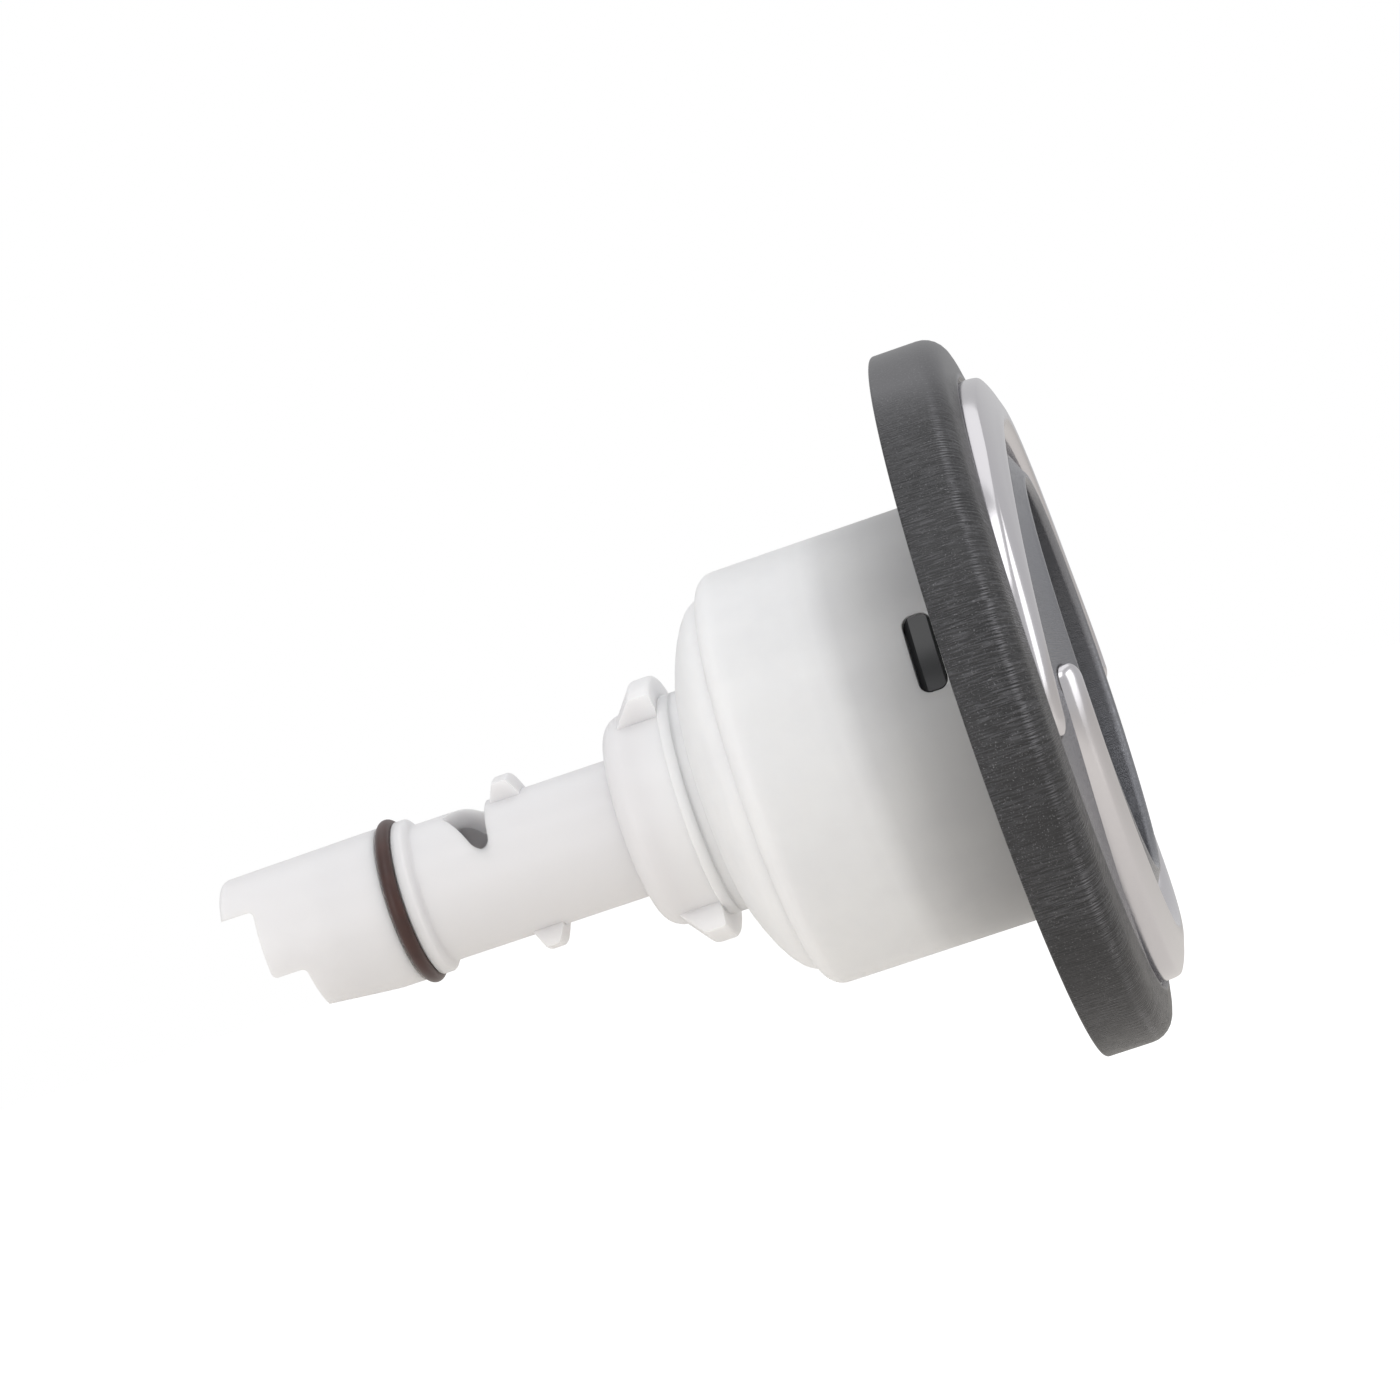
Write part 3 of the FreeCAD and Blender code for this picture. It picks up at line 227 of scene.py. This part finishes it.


# Natural polypropylene as it comes from the mould: waxy and milky, with faint clouds 11 mm wide and a fine grain.
# Painted shade darkens the colour from 25 mm behind the face up to its edge, for the black collar's shadow through
# the wall, and painted shade turns the stem a darker grey from 50 to 60 mm behind the face.
SHADOW_START = -25 * MM
SHADOW_END = -3 * MM
STEM_START = -50 * MM
STEM_BLEND = -60 * MM
polypropylene, tree, shader = new_material("natural_polypropylene")
place = add_node(tree, "ShaderNodeTexCoord")
cloud = add_node(tree, "ShaderNodeTexNoise", Vector=place.outputs["Object"], Scale=cells(11.11), Detail=3.0)
milk = add_ramp(tree, cloud.outputs["Fac"], [(0.3, "F1F1F2"), (0.7, "F7F7F7")])
axes = add_node(tree, "ShaderNodeSeparateXYZ", Vector=place.outputs["Object"])
depth = add_node(
    tree, "ShaderNodeMapRange", Value=axes.outputs["X"], From_Min=SHADOW_START, From_Max=SHADOW_END,
)
# painted shade: the collar's shadow is painted into the base colour by position along the axis
shadow = add_ramp(tree, depth.outputs[0], [
    (0.0, 1.0), (1.0, 0.49), (0.14, 0.95), (0.23, 0.85), (0.32, 0.74), (0.46, 0.66), (0.64, 0.57), (0.82, 0.52),
])
body = add_node(
    tree, "ShaderNodeMix", {"data_type": "RGBA", "blend_type": "MULTIPLY"},
    slot_0=1.0, slot_6=milk, slot_7=shadow,
)
# painted shade: from 50 to 60 mm behind the face the colour turns to a darker grey on the stem
tube = add_node(tree, "ShaderNodeMapRange", Value=axes.outputs["X"], From_Min=STEM_START, From_Max=STEM_BLEND)
stem_painted_shade = add_node(
    tree, "ShaderNodeMix", {"data_type": "RGBA"},
    slot_0=tube.outputs[0], slot_6=body.outputs[2], slot_7=linear("E4E3E4"),
)
tree.links.new(stem_painted_shade.outputs[2], shader.inputs["Base Color"])
shader.inputs["Subsurface Weight"].default_value = 1.0
shader.inputs["Subsurface Radius"].default_value = (1.0, 0.98, 0.96)
shader.inputs["Subsurface Scale"].default_value = 4 * MM
shader.inputs["Roughness"].default_value = 0.34
shader.inputs["IOR"].default_value = 1.49
grain = add_node(tree, "ShaderNodeTexNoise", Vector=place.outputs["Object"], Scale=cells(1.43), Detail=2.0)
relief = add_node(tree, "ShaderNodeBump", Strength=0.12, Distance=0.2 * MM, Height=grain.outputs["Fac"])
tree.links.new(relief.outputs["Normal"], shader.inputs["Normal"])
for node in ("barrel", "stem"):
    piece = merged_copy(node, polypropylene)

# The ring seal on the stem.
# It is moulded in brown nitrile rubber and sits in a square groove of the stem, a little proud of it, where the jet
# body's bore squeezes it.
SEAL_X = -107.5
SEAL_RING_RADIUS = 13.69
SEAL_SECTION_RADIUS = 1.31


def mesh_piece(name, points, faces, material, uv=None):
    """A smooth object from rows of points and of four corner numbers, with an optional place on its UV map for each
    corner of each face."""
    mesh = bpy.data.meshes.new(name + "_surface")
    mesh.from_pydata(points.tolist(), [], faces.tolist())
    if uv is not None:
        layer = mesh.uv_layers.new(name="surface")
        layer.data.foreach_set("uv", uv.astype(np.float32).ravel())
    mesh.shade_smooth()
    mesh.materials.append(material)
    piece = bpy.data.objects.new(name, mesh)
    bpy.context.scene.collection.objects.link(piece)
    return piece


def turned_surface(name, profile, count, material):
    """A closed profile of (x, radius) rows turned about the X axis: point (i, j) lies at the profile's x and at
    (-radius cos a, radius sin a) for clock angle a. Its UV map holds metres round the rim and along the profile."""
    angles = np.linspace(0, 2 * np.pi, count + 1)
    rows = len(profile)
    x = np.repeat(profile[:, 0], count)
    y = -np.outer(profile[:, 1], np.cos(angles[:-1])).ravel()
    z = np.outer(profile[:, 1], np.sin(angles[:-1])).ravel()
    row, column = np.meshgrid(np.arange(rows), np.arange(count), indexing="ij")
    after = (row + 1) % rows
    beside = (column + 1) % count
    faces = np.stack([
        row * count + column, row * count + beside, after * count + beside, after * count + column,
    ], axis=-1)
    steps = np.linalg.norm(np.diff(np.vstack([profile, profile[:1]]), axis=0), axis=1)
    along = np.concatenate([[0.0], np.cumsum(steps)])
    reach = profile[:, 1].max()
    u = np.stack([angles[column], angles[column + 1], angles[column + 1], angles[column]], axis=-1) * reach
    v = np.stack([along[row], along[row], along[row + 1], along[row + 1]], axis=-1)
    uv = np.stack([u, v], axis=-1).reshape(-1, 2)
    return mesh_piece(name, np.column_stack([x, y, z]), faces.reshape(-1, 4), material, uv)


# Brown nitrile rubber: dark, with a faint bloom 4 mm wide and a soft oily sheen.
rubber, tree, shader = new_material("nitrile_rubber_brown")
place = add_node(tree, "ShaderNodeTexCoord")
bloom = add_node(tree, "ShaderNodeTexNoise", Vector=place.outputs["Object"], Scale=cells(3.85), Detail=4.0)
brown = add_ramp(tree, bloom.outputs["Fac"], [(0.0, "28110C"), (1.0, "46231A")])
tree.links.new(brown, shader.inputs["Base Color"])
shader.inputs["Roughness"].default_value = 0.42
shader.inputs["Sheen Weight"].default_value = 0.15
section = np.linspace(0, 2 * np.pi, 28, endpoint=False)
ring = np.column_stack([
    SEAL_X + SEAL_SECTION_RADIUS * np.sin(section), SEAL_RING_RADIUS + SEAL_SECTION_RADIUS * np.cos(section),
])
stem_seal = turned_surface("stem_ring_seal", ring * MM, 160, rubber)
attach(stem_seal, "housing")
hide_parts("stem_seal")

# The face moulding.
# The bezel is moulded in graphite-coloured ABS with a metallic fleck. Its rim carries fine drag lines along the
# axis, left when it came out of the mould, and its open back is stiffened by eight ribs.
RIM_RADIUS = 63.5
RIM_BACK_RADIUS = 60.5
RIM_CORNER_X = 11.9
VALLEY_OUTER = (12.5, 54.8)
VALLEY_MIDDLE = (14.5, 45.99)
VALLEY_INNER = (18.2, 36.6)
LIP_TOP = (18.55, 35.55)
LIP_INNER = (17.1, 34.5)
THROAT_RADIUS = 34.5
THROAT_OUTER_RADIUS = 36.7
THROAT_BACK_X = 4.0
RIB_COUNT = 8
RIB_THICKNESS = 1.6


def rounded_profile(corners, steps=7):
    """A closed profile from (x, radius, rounding) corners in millimetres: each corner becomes an arc that touches
    both its sides, with its centre on their bisector."""
    count = len(corners)
    rows = []
    flat = np.array([corner[:2] for corner in corners], float)
    for index in range(count):
        rounding = corners[index][2] if len(corners[index]) > 2 else 0.0
        if rounding == 0.0:
            rows.append(flat[index][None])
            continue
        back = flat[index - 1] - flat[index]
        ahead = flat[(index + 1) % count] - flat[index]
        back /= np.linalg.norm(back)
        ahead /= np.linalg.norm(ahead)
        half = np.arccos(np.clip(back @ ahead, -1, 1)) / 2
        bisector = (back + ahead) / np.linalg.norm(back + ahead)
        centre = flat[index] + bisector * rounding / np.sin(half)
        start = flat[index] + back * rounding / np.tan(half) - centre
        end = flat[index] + ahead * rounding / np.tan(half) - centre
        share = np.linspace(0, 1, steps)[:, None]
        whole = np.arccos(np.clip(start @ end / rounding ** 2, -1, 1))
        swept = np.sin((1 - share) * whole) * start + np.sin(share * whole) * end
        rows.append(centre + swept / np.sin(whole))
    return np.vstack(rows) * MM


def arc_through(first, middle, last, count):
    """Points on the circle through three points of the profile plane, from the first to the last."""
    first, middle, last = (np.array(point, float) for point in (first, middle, last))
    across = 2 * np.array([middle - first, last - first])
    centre = np.linalg.solve(across, [middle @ middle - first @ first, last @ last - first @ first])
    start, end = np.arctan2(*(first - centre)[::-1]), np.arctan2(*(last - centre)[::-1])
    end += 2 * np.pi * np.round((start - end) / (2 * np.pi))
    angles = np.linspace(start, end, count)
    return centre + np.linalg.norm(first - centre) * np.column_stack([np.cos(angles), np.sin(angles)])


def add_mask(tree, value, start, end, low=0.0, high=1.0):
    """A number that runs from low to high as the value goes from start to end, and stays there beyond them."""
    node = add_node(
        tree, "ShaderNodeMapRange", Value=value, From_Min=start, From_Max=end, To_Min=low, To_Max=high,
    )
    return node.outputs[0]


def multiply(tree, first, second):
    """The product of two numbers."""
    return add_node(tree, "ShaderNodeMath", {"operation": "MULTIPLY"}, slot_0=first, slot_1=second).outputs[0]


def mix_colours(tree, share, first, second):
    """The first colour where the share is 0 and the second where it is 1."""
    node = add_node(tree, "ShaderNodeMix", {"data_type": "RGBA"}, slot_0=share, slot_6=first, slot_7=second)
    return node.outputs[2]


# Graphite ABS: on the rim dark and satin, with fine drag lines 0.3 mm wide in patches 17 mm across, flecks and a fine
# orange peel. Its top is smooth and painted lighter, and lighter ticks along the front corner are painted, both as
# painted highlights. The valley is glossy and metallic, and its lighter grey is a painted sheen.
abs_graphite, tree, shader = new_material("abs_graphite")
place = add_node(tree, "ShaderNodeTexCoord")
axes = add_node(tree, "ShaderNodeSeparateXYZ", Vector=place.outputs["Object"])
flat = add_node(tree, "ShaderNodeCombineXYZ", Y=axes.outputs["Y"], Z=axes.outputs["Z"])
reach = add_node(tree, "ShaderNodeVectorMath", {"operation": "LENGTH"}, slot_0=flat.outputs[0])
on_rim = add_mask(tree, reach.outputs["Value"], VALLEY_OUTER[1] * MM, (VALLEY_OUTER[1] + 1.4) * MM)
fleck = add_node(tree, "ShaderNodeTexNoise", Vector=place.outputs["Object"], Scale=cells(0.2632), Detail=2.0)
stretch = add_node(
    tree, "ShaderNodeMapping", Vector=place.outputs["UV"], Scale=(cells(0.30303), cells(4.1667), 1.0),
)
drag = add_node(
    tree, "ShaderNodeTexNoise", {"noise_dimensions": "2D"}, Vector=stretch.outputs[0], Scale=1.0, Detail=2.0,
)
patch = add_node(tree, "ShaderNodeTexNoise", Vector=place.outputs["Object"], Scale=cells(16.667), Detail=1.0)
below_top = add_mask(tree, axes.outputs["Z"], 56 * MM, 48 * MM)
combed = multiply(tree, add_mask(tree, patch.outputs["Fac"], 0.4, 0.58, 0.25), below_top)
scored = multiply(tree, add_mask(tree, drag.outputs["Fac"], 0.4, 0.68), combed)
ground = mix_colours(tree, scored, linear("232325"), linear("48484B"))
# painted highlight: the rim's top, above 48 to 56 mm, is painted a lighter grey where it catches the light
top_painted_highlight = mix_colours(tree, below_top, linear("4C4C4F"), ground)
# painted highlight: lighter ticks where the drag lines cross the front corner, 9 to 10.6 mm along the axis
on_corner = multiply(
    tree, add_mask(tree, axes.outputs["X"], 8.8 * MM, 9.6 * MM), add_mask(tree, axes.outputs["X"], 10.6 * MM, 9.8 * MM),
)
corner_highlight_ticks = mix_colours(tree, multiply(tree, on_corner, scored), top_painted_highlight, linear("77777B"))
flecked = mix_colours(tree, add_mask(tree, fleck.outputs["Fac"], 0.6, 0.8), corner_highlight_ticks, linear("7C7C7F"))
# painted sheen: inside the rim the same graphite is painted a lighter metallic grey for the light the valley catches
with_valley_sheen_painted = mix_colours(tree, on_rim, linear("808186"), flecked)
# painted shade: the bezel is painted near black within 3.6 to 3.95 mm of each crescent tip's centre, standing in for
# the shadowed gap of a seat 0.8 mm wider than the tip; (clock angle, radius) of each tip
nearest = None
for tip_angle, tip_radius in ((-4.5, 51.4), (175.5, 51.4), (181.0, 40.5), (1.0, 40.5)):
    turn = np.radians(tip_angle)
    tip = (14.0 * MM, -tip_radius * MM * np.cos(turn), tip_radius * MM * np.sin(turn))
    away = add_node(
        tree, "ShaderNodeVectorMath", {"operation": "DISTANCE"}, slot_0=place.outputs["Object"], slot_1=tip,
    ).outputs["Value"]
    if nearest is not None:
        away = add_node(tree, "ShaderNodeMath", {"operation": "MINIMUM"}, slot_0=nearest, slot_1=away).outputs[0]
    nearest = away
tip_gap_painted_shade = add_mask(tree, nearest, 3.95 * MM, 3.6 * MM)
tree.links.new(mix_colours(tree, tip_gap_painted_shade, with_valley_sheen_painted, linear("0A0A0B")), shader.inputs["Base Color"])
orange_peel = add_node(tree, "ShaderNodeTexNoise", Vector=place.outputs["Object"], Scale=cells(0.625), Detail=2.0)
peel = add_node(
    tree, "ShaderNodeBump", Strength=0.5, Distance=0.06 * MM,
    Height=multiply(tree, orange_peel.outputs["Fac"], on_rim),
)
relief = add_node(
    tree, "ShaderNodeBump", Strength=0.8, Distance=0.2 * MM,
    Height=multiply(tree, scored, add_mask(tree, on_rim, 0.0, 1.0, 0.25)), Normal=peel.outputs["Normal"],
)
tree.links.new(relief.outputs["Normal"], shader.inputs["Normal"])
tree.links.new(add_mask(tree, on_rim, 0.0, 1.0, 0.24, 0.34), shader.inputs["Roughness"])
tree.links.new(add_mask(tree, on_rim, 0.0, 1.0, 0.6, 0.1), shader.inputs["Metallic"])


def rib_plates(outline, count, thickness):
    """The stiffening ribs: a flat outline of (x, radius) rows pushed out to both sides by half the thickness, and
    repeated round the axis. Gives the points and the faces."""
    points, faces = [], []
    sides = len(outline)
    for index in range(count):
        turn = np.radians(180.0 / count + index * 360.0 / count)
        radial = np.array([0.0, -np.cos(turn), np.sin(turn)])
        across = np.array([0.0, np.sin(turn), np.cos(turn)]) * thickness / 2
        plate = outline[:, :1] * [1.0, 0.0, 0.0] + outline[:, 1:] * radial
        first = index * 2 * sides
        points += [plate - across, plate + across]
        faces.append([first + corner for corner in range(sides)])
        faces.append([first + sides + corner for corner in reversed(range(sides))])
        for corner in range(sides):
            after = (corner + 1) % sides
            faces.append([first + after, first + corner, first + sides + corner, first + sides + after])
    return np.vstack(points), faces


valley = arc_through(VALLEY_OUTER, VALLEY_MIDDLE, VALLEY_INNER, 25)
lip = arc_through(VALLEY_INNER, LIP_TOP, LIP_INNER, 9)
bezel_corners = [
    (0, RIM_BACK_RADIUS), (0, RIM_RADIUS, 0.5), (RIM_CORNER_X, RIM_RADIUS, 4.4),
    (13.4, VALLEY_OUTER[1] + 0.5, 0.5),
]
bezel_corners += [tuple(point) for point in valley] + [tuple(point) for point in lip[1:]]
bezel_corners += [
    (THROAT_BACK_X, THROAT_RADIUS), (THROAT_BACK_X, THROAT_OUTER_RADIUS), (14.8, THROAT_OUTER_RADIUS, 0.8),
    (11.9, 46.0), (9.9, 54.8), (9.3, RIM_BACK_RADIUS, 1.6),
]
bezel = turned_surface("bezel_moulding", rounded_profile(bezel_corners)[::-1], 360, abs_graphite)
bezel.data.set_sharp_from_angle(angle=np.radians(40))
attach(bezel, "housing")
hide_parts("bezel")
rib_outline = np.array([(5.5, 35.6), (5.5, 62.0), (10.6, 62.0), (11.2, 54.8), (13.1, 46.0), (15.6, 35.6)])
rib_points, rib_faces = rib_plates(rib_outline * MM, RIB_COUNT, RIB_THICKNESS * MM)
rib_mesh = bpy.data.meshes.new("rib_surface")
rib_mesh.from_pydata(rib_points.tolist(), [], rib_faces)
rib_mesh.materials.append(abs_graphite)
ribs = bpy.data.objects.new("bezel_ribs", rib_mesh)
bpy.context.scene.collection.objects.link(ribs)
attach(ribs, "housing")

# The polished trims.
# Two crescents of ABS, plated and polished to a mirror, are pressed into shallow seats in the face. Each hugs the
# valley's outer edge, widens over a third of a turn, and hooks round the mouth.
VALLEY_WIDTH = VALLEY_OUTER[1] - VALLEY_INNER[1]
TRIM_OUTER_RADIUS = 54.5
TRIM_TIP_INNER_RADIUS = 48.31
TRIM_START_ANGLE = -8.0
TRIM_TOP_ANGLE = 86.0
TRIM_END_ANGLE = 185.0
TRIM_NARROWING_SWEEP = 64.0
TIP_HALF_WIDTH = 3.094
HOOK_RADIUS = 43.58
SEAT_DEPTH = 0.8


def ease(value, start, end):
    """Zero before start and one after end, with 3s^2 - 2s^3 between."""
    share = np.clip((value - start) / (end - start), 0, 1)
    return share * share * (3 - 2 * share)


def valley_floor(radius):
    """Height along the axis of the valley's arc at a radius, read between the arc's points."""
    return np.interp(radius, valley[::-1, 1], valley[::-1, 0])


def smooth_section(knots, count=8):
    """A cubic through each section's points, in count steps from one to the next. Its slope at a point is that of
    the chord between the point's neighbours, by the length run."""
    steps = np.maximum(np.linalg.norm(np.diff(knots, axis=1), axis=0), 1e-6)
    at = np.concatenate([np.zeros((1, knots.shape[2])), np.cumsum(steps, axis=0)])
    slopes = np.empty_like(knots)
    slopes[:, 1:-1] = (knots[:, 2:] - knots[:, :-2]) / (at[2:] - at[:-2])
    slopes[:, 0] = (knots[:, 1] - knots[:, 0]) / steps[0]
    slopes[:, -1] = (knots[:, -1] - knots[:, -2]) / steps[-1]
    t = np.linspace(0, 1, count + 1)[:-1, None, None, None]
    from_start = (2 * t ** 3 - 3 * t ** 2 + 1) * knots[None, :, :-1]
    to_end = (3 * t ** 2 - 2 * t ** 3) * knots[None, :, 1:]
    leaving = (t ** 3 - 2 * t ** 2 + t) * steps * slopes[None, :, :-1]
    arriving = (t ** 3 - t ** 2) * steps * slopes[None, :, 1:]
    cubic = from_start + leaving + to_end + arriving
    return np.concatenate([cubic.transpose(2, 0, 1, 3).reshape(-1, 2, knots.shape[2]), knots[:, -1][None]])


def trim_surface(name, first_angle, material):
    """A crescent, with one section of seven points for each clock angle. The points scale with its width and height,
    and turn into a half ellipse towards both ends, like a round bar; the width falls to zero as a half circle at
    both tips."""
    quarter = np.linspace(0, np.pi / 2, 15)
    reach = 1 - np.cos(quarter)
    tip_out = np.degrees(TIP_HALF_WIDTH / TRIM_OUTER_RADIUS)
    tip_in = np.degrees(TIP_HALF_WIDTH / HOOK_RADIUS)
    between = np.linspace(TRIM_START_ANGLE + tip_out, TRIM_END_ANGLE - tip_in, 420)[1:-1]
    angles = np.concatenate([TRIM_START_ANGLE + reach * tip_out, between, TRIM_END_ANGLE - reach[::-1] * tip_in])
    share = np.concatenate([np.sin(quarter), np.ones(len(between)), np.sin(quarter)[::-1]])
    spiral = ease(angles, TRIM_TOP_ANGLE, TRIM_END_ANGLE)
    widening = ease(angles, TRIM_START_ANGLE, TRIM_TOP_ANGLE)
    inward = ease(angles, TRIM_TOP_ANGLE, TRIM_TOP_ANGLE + TRIM_NARROWING_SWEEP)
    outer = TRIM_OUTER_RADIUS - 0.6 * VALLEY_WIDTH * spiral
    inner = TRIM_TIP_INNER_RADIUS - (0.21 * widening + 0.357 * inward) * VALLEY_WIDTH
    middle = (outer + inner) / 2
    half = (outer - inner) / 2 * np.maximum(share, 1e-4)
    outer = middle + half
    inner = middle - half
    climb = np.clip((angles - TRIM_START_ANGLE) / (TRIM_TOP_ANGLE - TRIM_START_ANGLE), 0, 1)
    above = VALLEY_OUTER[0] + 1.9 + 4.3 * np.sin(np.pi / 2 * climb) - valley_floor(middle)
    crown = valley_floor(middle) + above * (0.3 + 0.7 * share)
    low_out = valley_floor(outer) - SEAT_DEPTH
    low_in = valley_floor(inner) - SEAT_DEPTH
    drop = crown - low_out
    heights = np.array([
        low_out, crown - 0.4 * drop, crown - 0.25 * drop, crown - 0.1 * drop,
        crown, crown - 0.3 * (crown - low_in), low_in,
    ])
    radii = np.array([
        outer, outer - 0.05 * half, outer - 0.3 * half, outer - 0.85 * half,
        inner + 0.5 * half, inner + 0.05 * half, inner,
    ])
    bar = np.maximum(1 - ease(angles, 5.0, 50.0), ease(angles, 150.0, 180.0))
    sweep = np.radians([0, 35, 62, 90, 118, 145, 180])[:, None]
    low = (low_out + low_in) / 2
    bar_heights = low + (low_out - low) * np.cos(sweep) + (crown - low) * np.sin(sweep)
    heights = (1 - bar) * heights + bar * bar_heights
    radii = (1 - bar) * radii + bar * (middle + half * np.cos(sweep))
    section = smooth_section(np.stack([heights, radii]))
    turn = np.radians(angles + first_angle)
    near, up = -section[:, 1] * np.cos(turn), section[:, 1] * np.sin(turn)
    points = np.stack([section[:, 0], near, up], axis=-1).transpose(1, 0, 2)
    rows, columns = points.shape[:2]
    row, column = np.meshgrid(np.arange(rows - 1), np.arange(columns), indexing="ij")
    beside = (column + 1) % columns
    faces = np.stack([
        row * columns + column, row * columns + beside, (row + 1) * columns + beside, (row + 1) * columns + column,
    ], axis=-1)
    return mesh_piece(name, points.reshape(-1, 3) * MM, faces.reshape(-1, 4), material)


# Chrome-plated ABS, polished: a bright mirror, faintly hazed in patches 8 mm wide where it has been wiped.
chrome, tree, shader = new_material("chrome_plated_abs")
place = add_node(tree, "ShaderNodeTexCoord")
haze = add_node(tree, "ShaderNodeTexNoise", Vector=place.outputs["Object"], Scale=cells(8.333), Detail=3.0)
tree.links.new(add_mask(tree, haze.outputs["Fac"], 0.0, 1.0, 0.15, 0.22), shader.inputs["Roughness"])
shader.inputs["Base Color"].default_value = linear("D3D1D4")
shader.inputs["Metallic"].default_value = 1.0
for name, node, first_angle in (("upper_crescent", "trim_upper", 0.0), ("lower_crescent", "trim_lower", 180.0)):
    piece = trim_surface(name, first_angle, chrome)
    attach(piece, "housing")
    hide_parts(node)

# The latch collar.
# A sleeve of glossy black nylon joins the face to the barrel. Its latches spring into the barrel's windows, and its
# dark sleeve's shade on the milky wall is painted into the barrel's colour. Scuffs 6 mm wide dull its gloss in places.
nylon, tree, shader = new_material("moulded_black_nylon")
place = add_node(tree, "ShaderNodeTexCoord")
scuff = add_node(tree, "ShaderNodeTexNoise", Vector=place.outputs["Object"], Scale=cells(5.556), Detail=4.0)
tree.links.new(add_mask(tree, scuff.outputs["Fac"], 0.0, 1.0, 0.16, 0.3), shader.inputs["Roughness"])
shader.inputs["Base Color"].default_value = linear("1A1B1D")
collar = merged_copy("latch_collar", nylon)

# The rotor, its bearing and the small parts.
# The rotor's cup is white and its face and outlets are satin grey plastic, its bearing runs steel balls in steel
# races, and spring clips and a black ring seal hold the stem in the neck.


def moulded(name, dark, light, roughness, metallic=0.0, drift_size=6.667):
    """A plain engineering material whose colour drifts between two shades, in patches of a size in millimetres."""
    material, tree, shader = new_material(name)
    place = add_node(tree, "ShaderNodeTexCoord")
    drift = add_node(tree, "ShaderNodeTexNoise", Vector=place.outputs["Object"], Scale=cells(drift_size), Detail=3.0)
    shade = add_ramp(tree, drift.outputs["Fac"], [(0.3, dark), (0.7, light)])
    tree.links.new(shade, shader.inputs["Base Color"])
    shader.inputs["Roughness"].default_value = roughness
    shader.inputs["Metallic"].default_value = metallic
    return material


rotor_plastic = moulded("satin_rotor_plastic", "3C3D40", "47484C", 0.4)
cup_plastic = moulded("white_rotor_plastic", "E4E4E2", "EEEEEC", 0.4)
bearing_steel = moulded("ground_bearing_steel", "B4B5B8", "C4C5C8", 0.18, 1.0, 2.5)
cage_nylon = moulded("ivory_nylon", "D2C9AE", "DDD5BC", 0.45)
spring_steel = moulded("spring_steel", "A2A3A6", "B6B7BA", 0.3, 1.0, 2.0)
black_rubber = moulded("black_rubber", "1A1A1B", "242425", 0.5)
finishes = {
    "rotor_cup": (cup_plastic, "natural_polypropylene"),
    "rotor_face": (rotor_plastic, "rotor_plastic"),
    "outlet_upper": (rotor_plastic, "rotor_plastic"),
    "outlet_lower": (rotor_plastic, "rotor_plastic"),
    "bearing_outer_race": (bearing_steel, "bearing_steel"),
    "bearing_inner_race": (bearing_steel, "bearing_steel"),
    "bearing_balls": (bearing_steel, "bearing_steel"),
    "bearing_cage": (cage_nylon, "cage_nylon"),
    "thrust_washer": (cage_nylon, "cage_nylon"),
    "bearing_retainer": (polypropylene, "natural_polypropylene"),
    "suction_nozzle": (polypropylene, "natural_polypropylene"),
    "hub_snap_ring": (spring_steel, "spring_steel"),
    "neck_clip": (spring_steel, "spring_steel"),
    "neck_seal": (black_rubber, "black_rubber"),
}
for node, (material, slot) in finishes.items():
    piece = merged_copy(node, material)
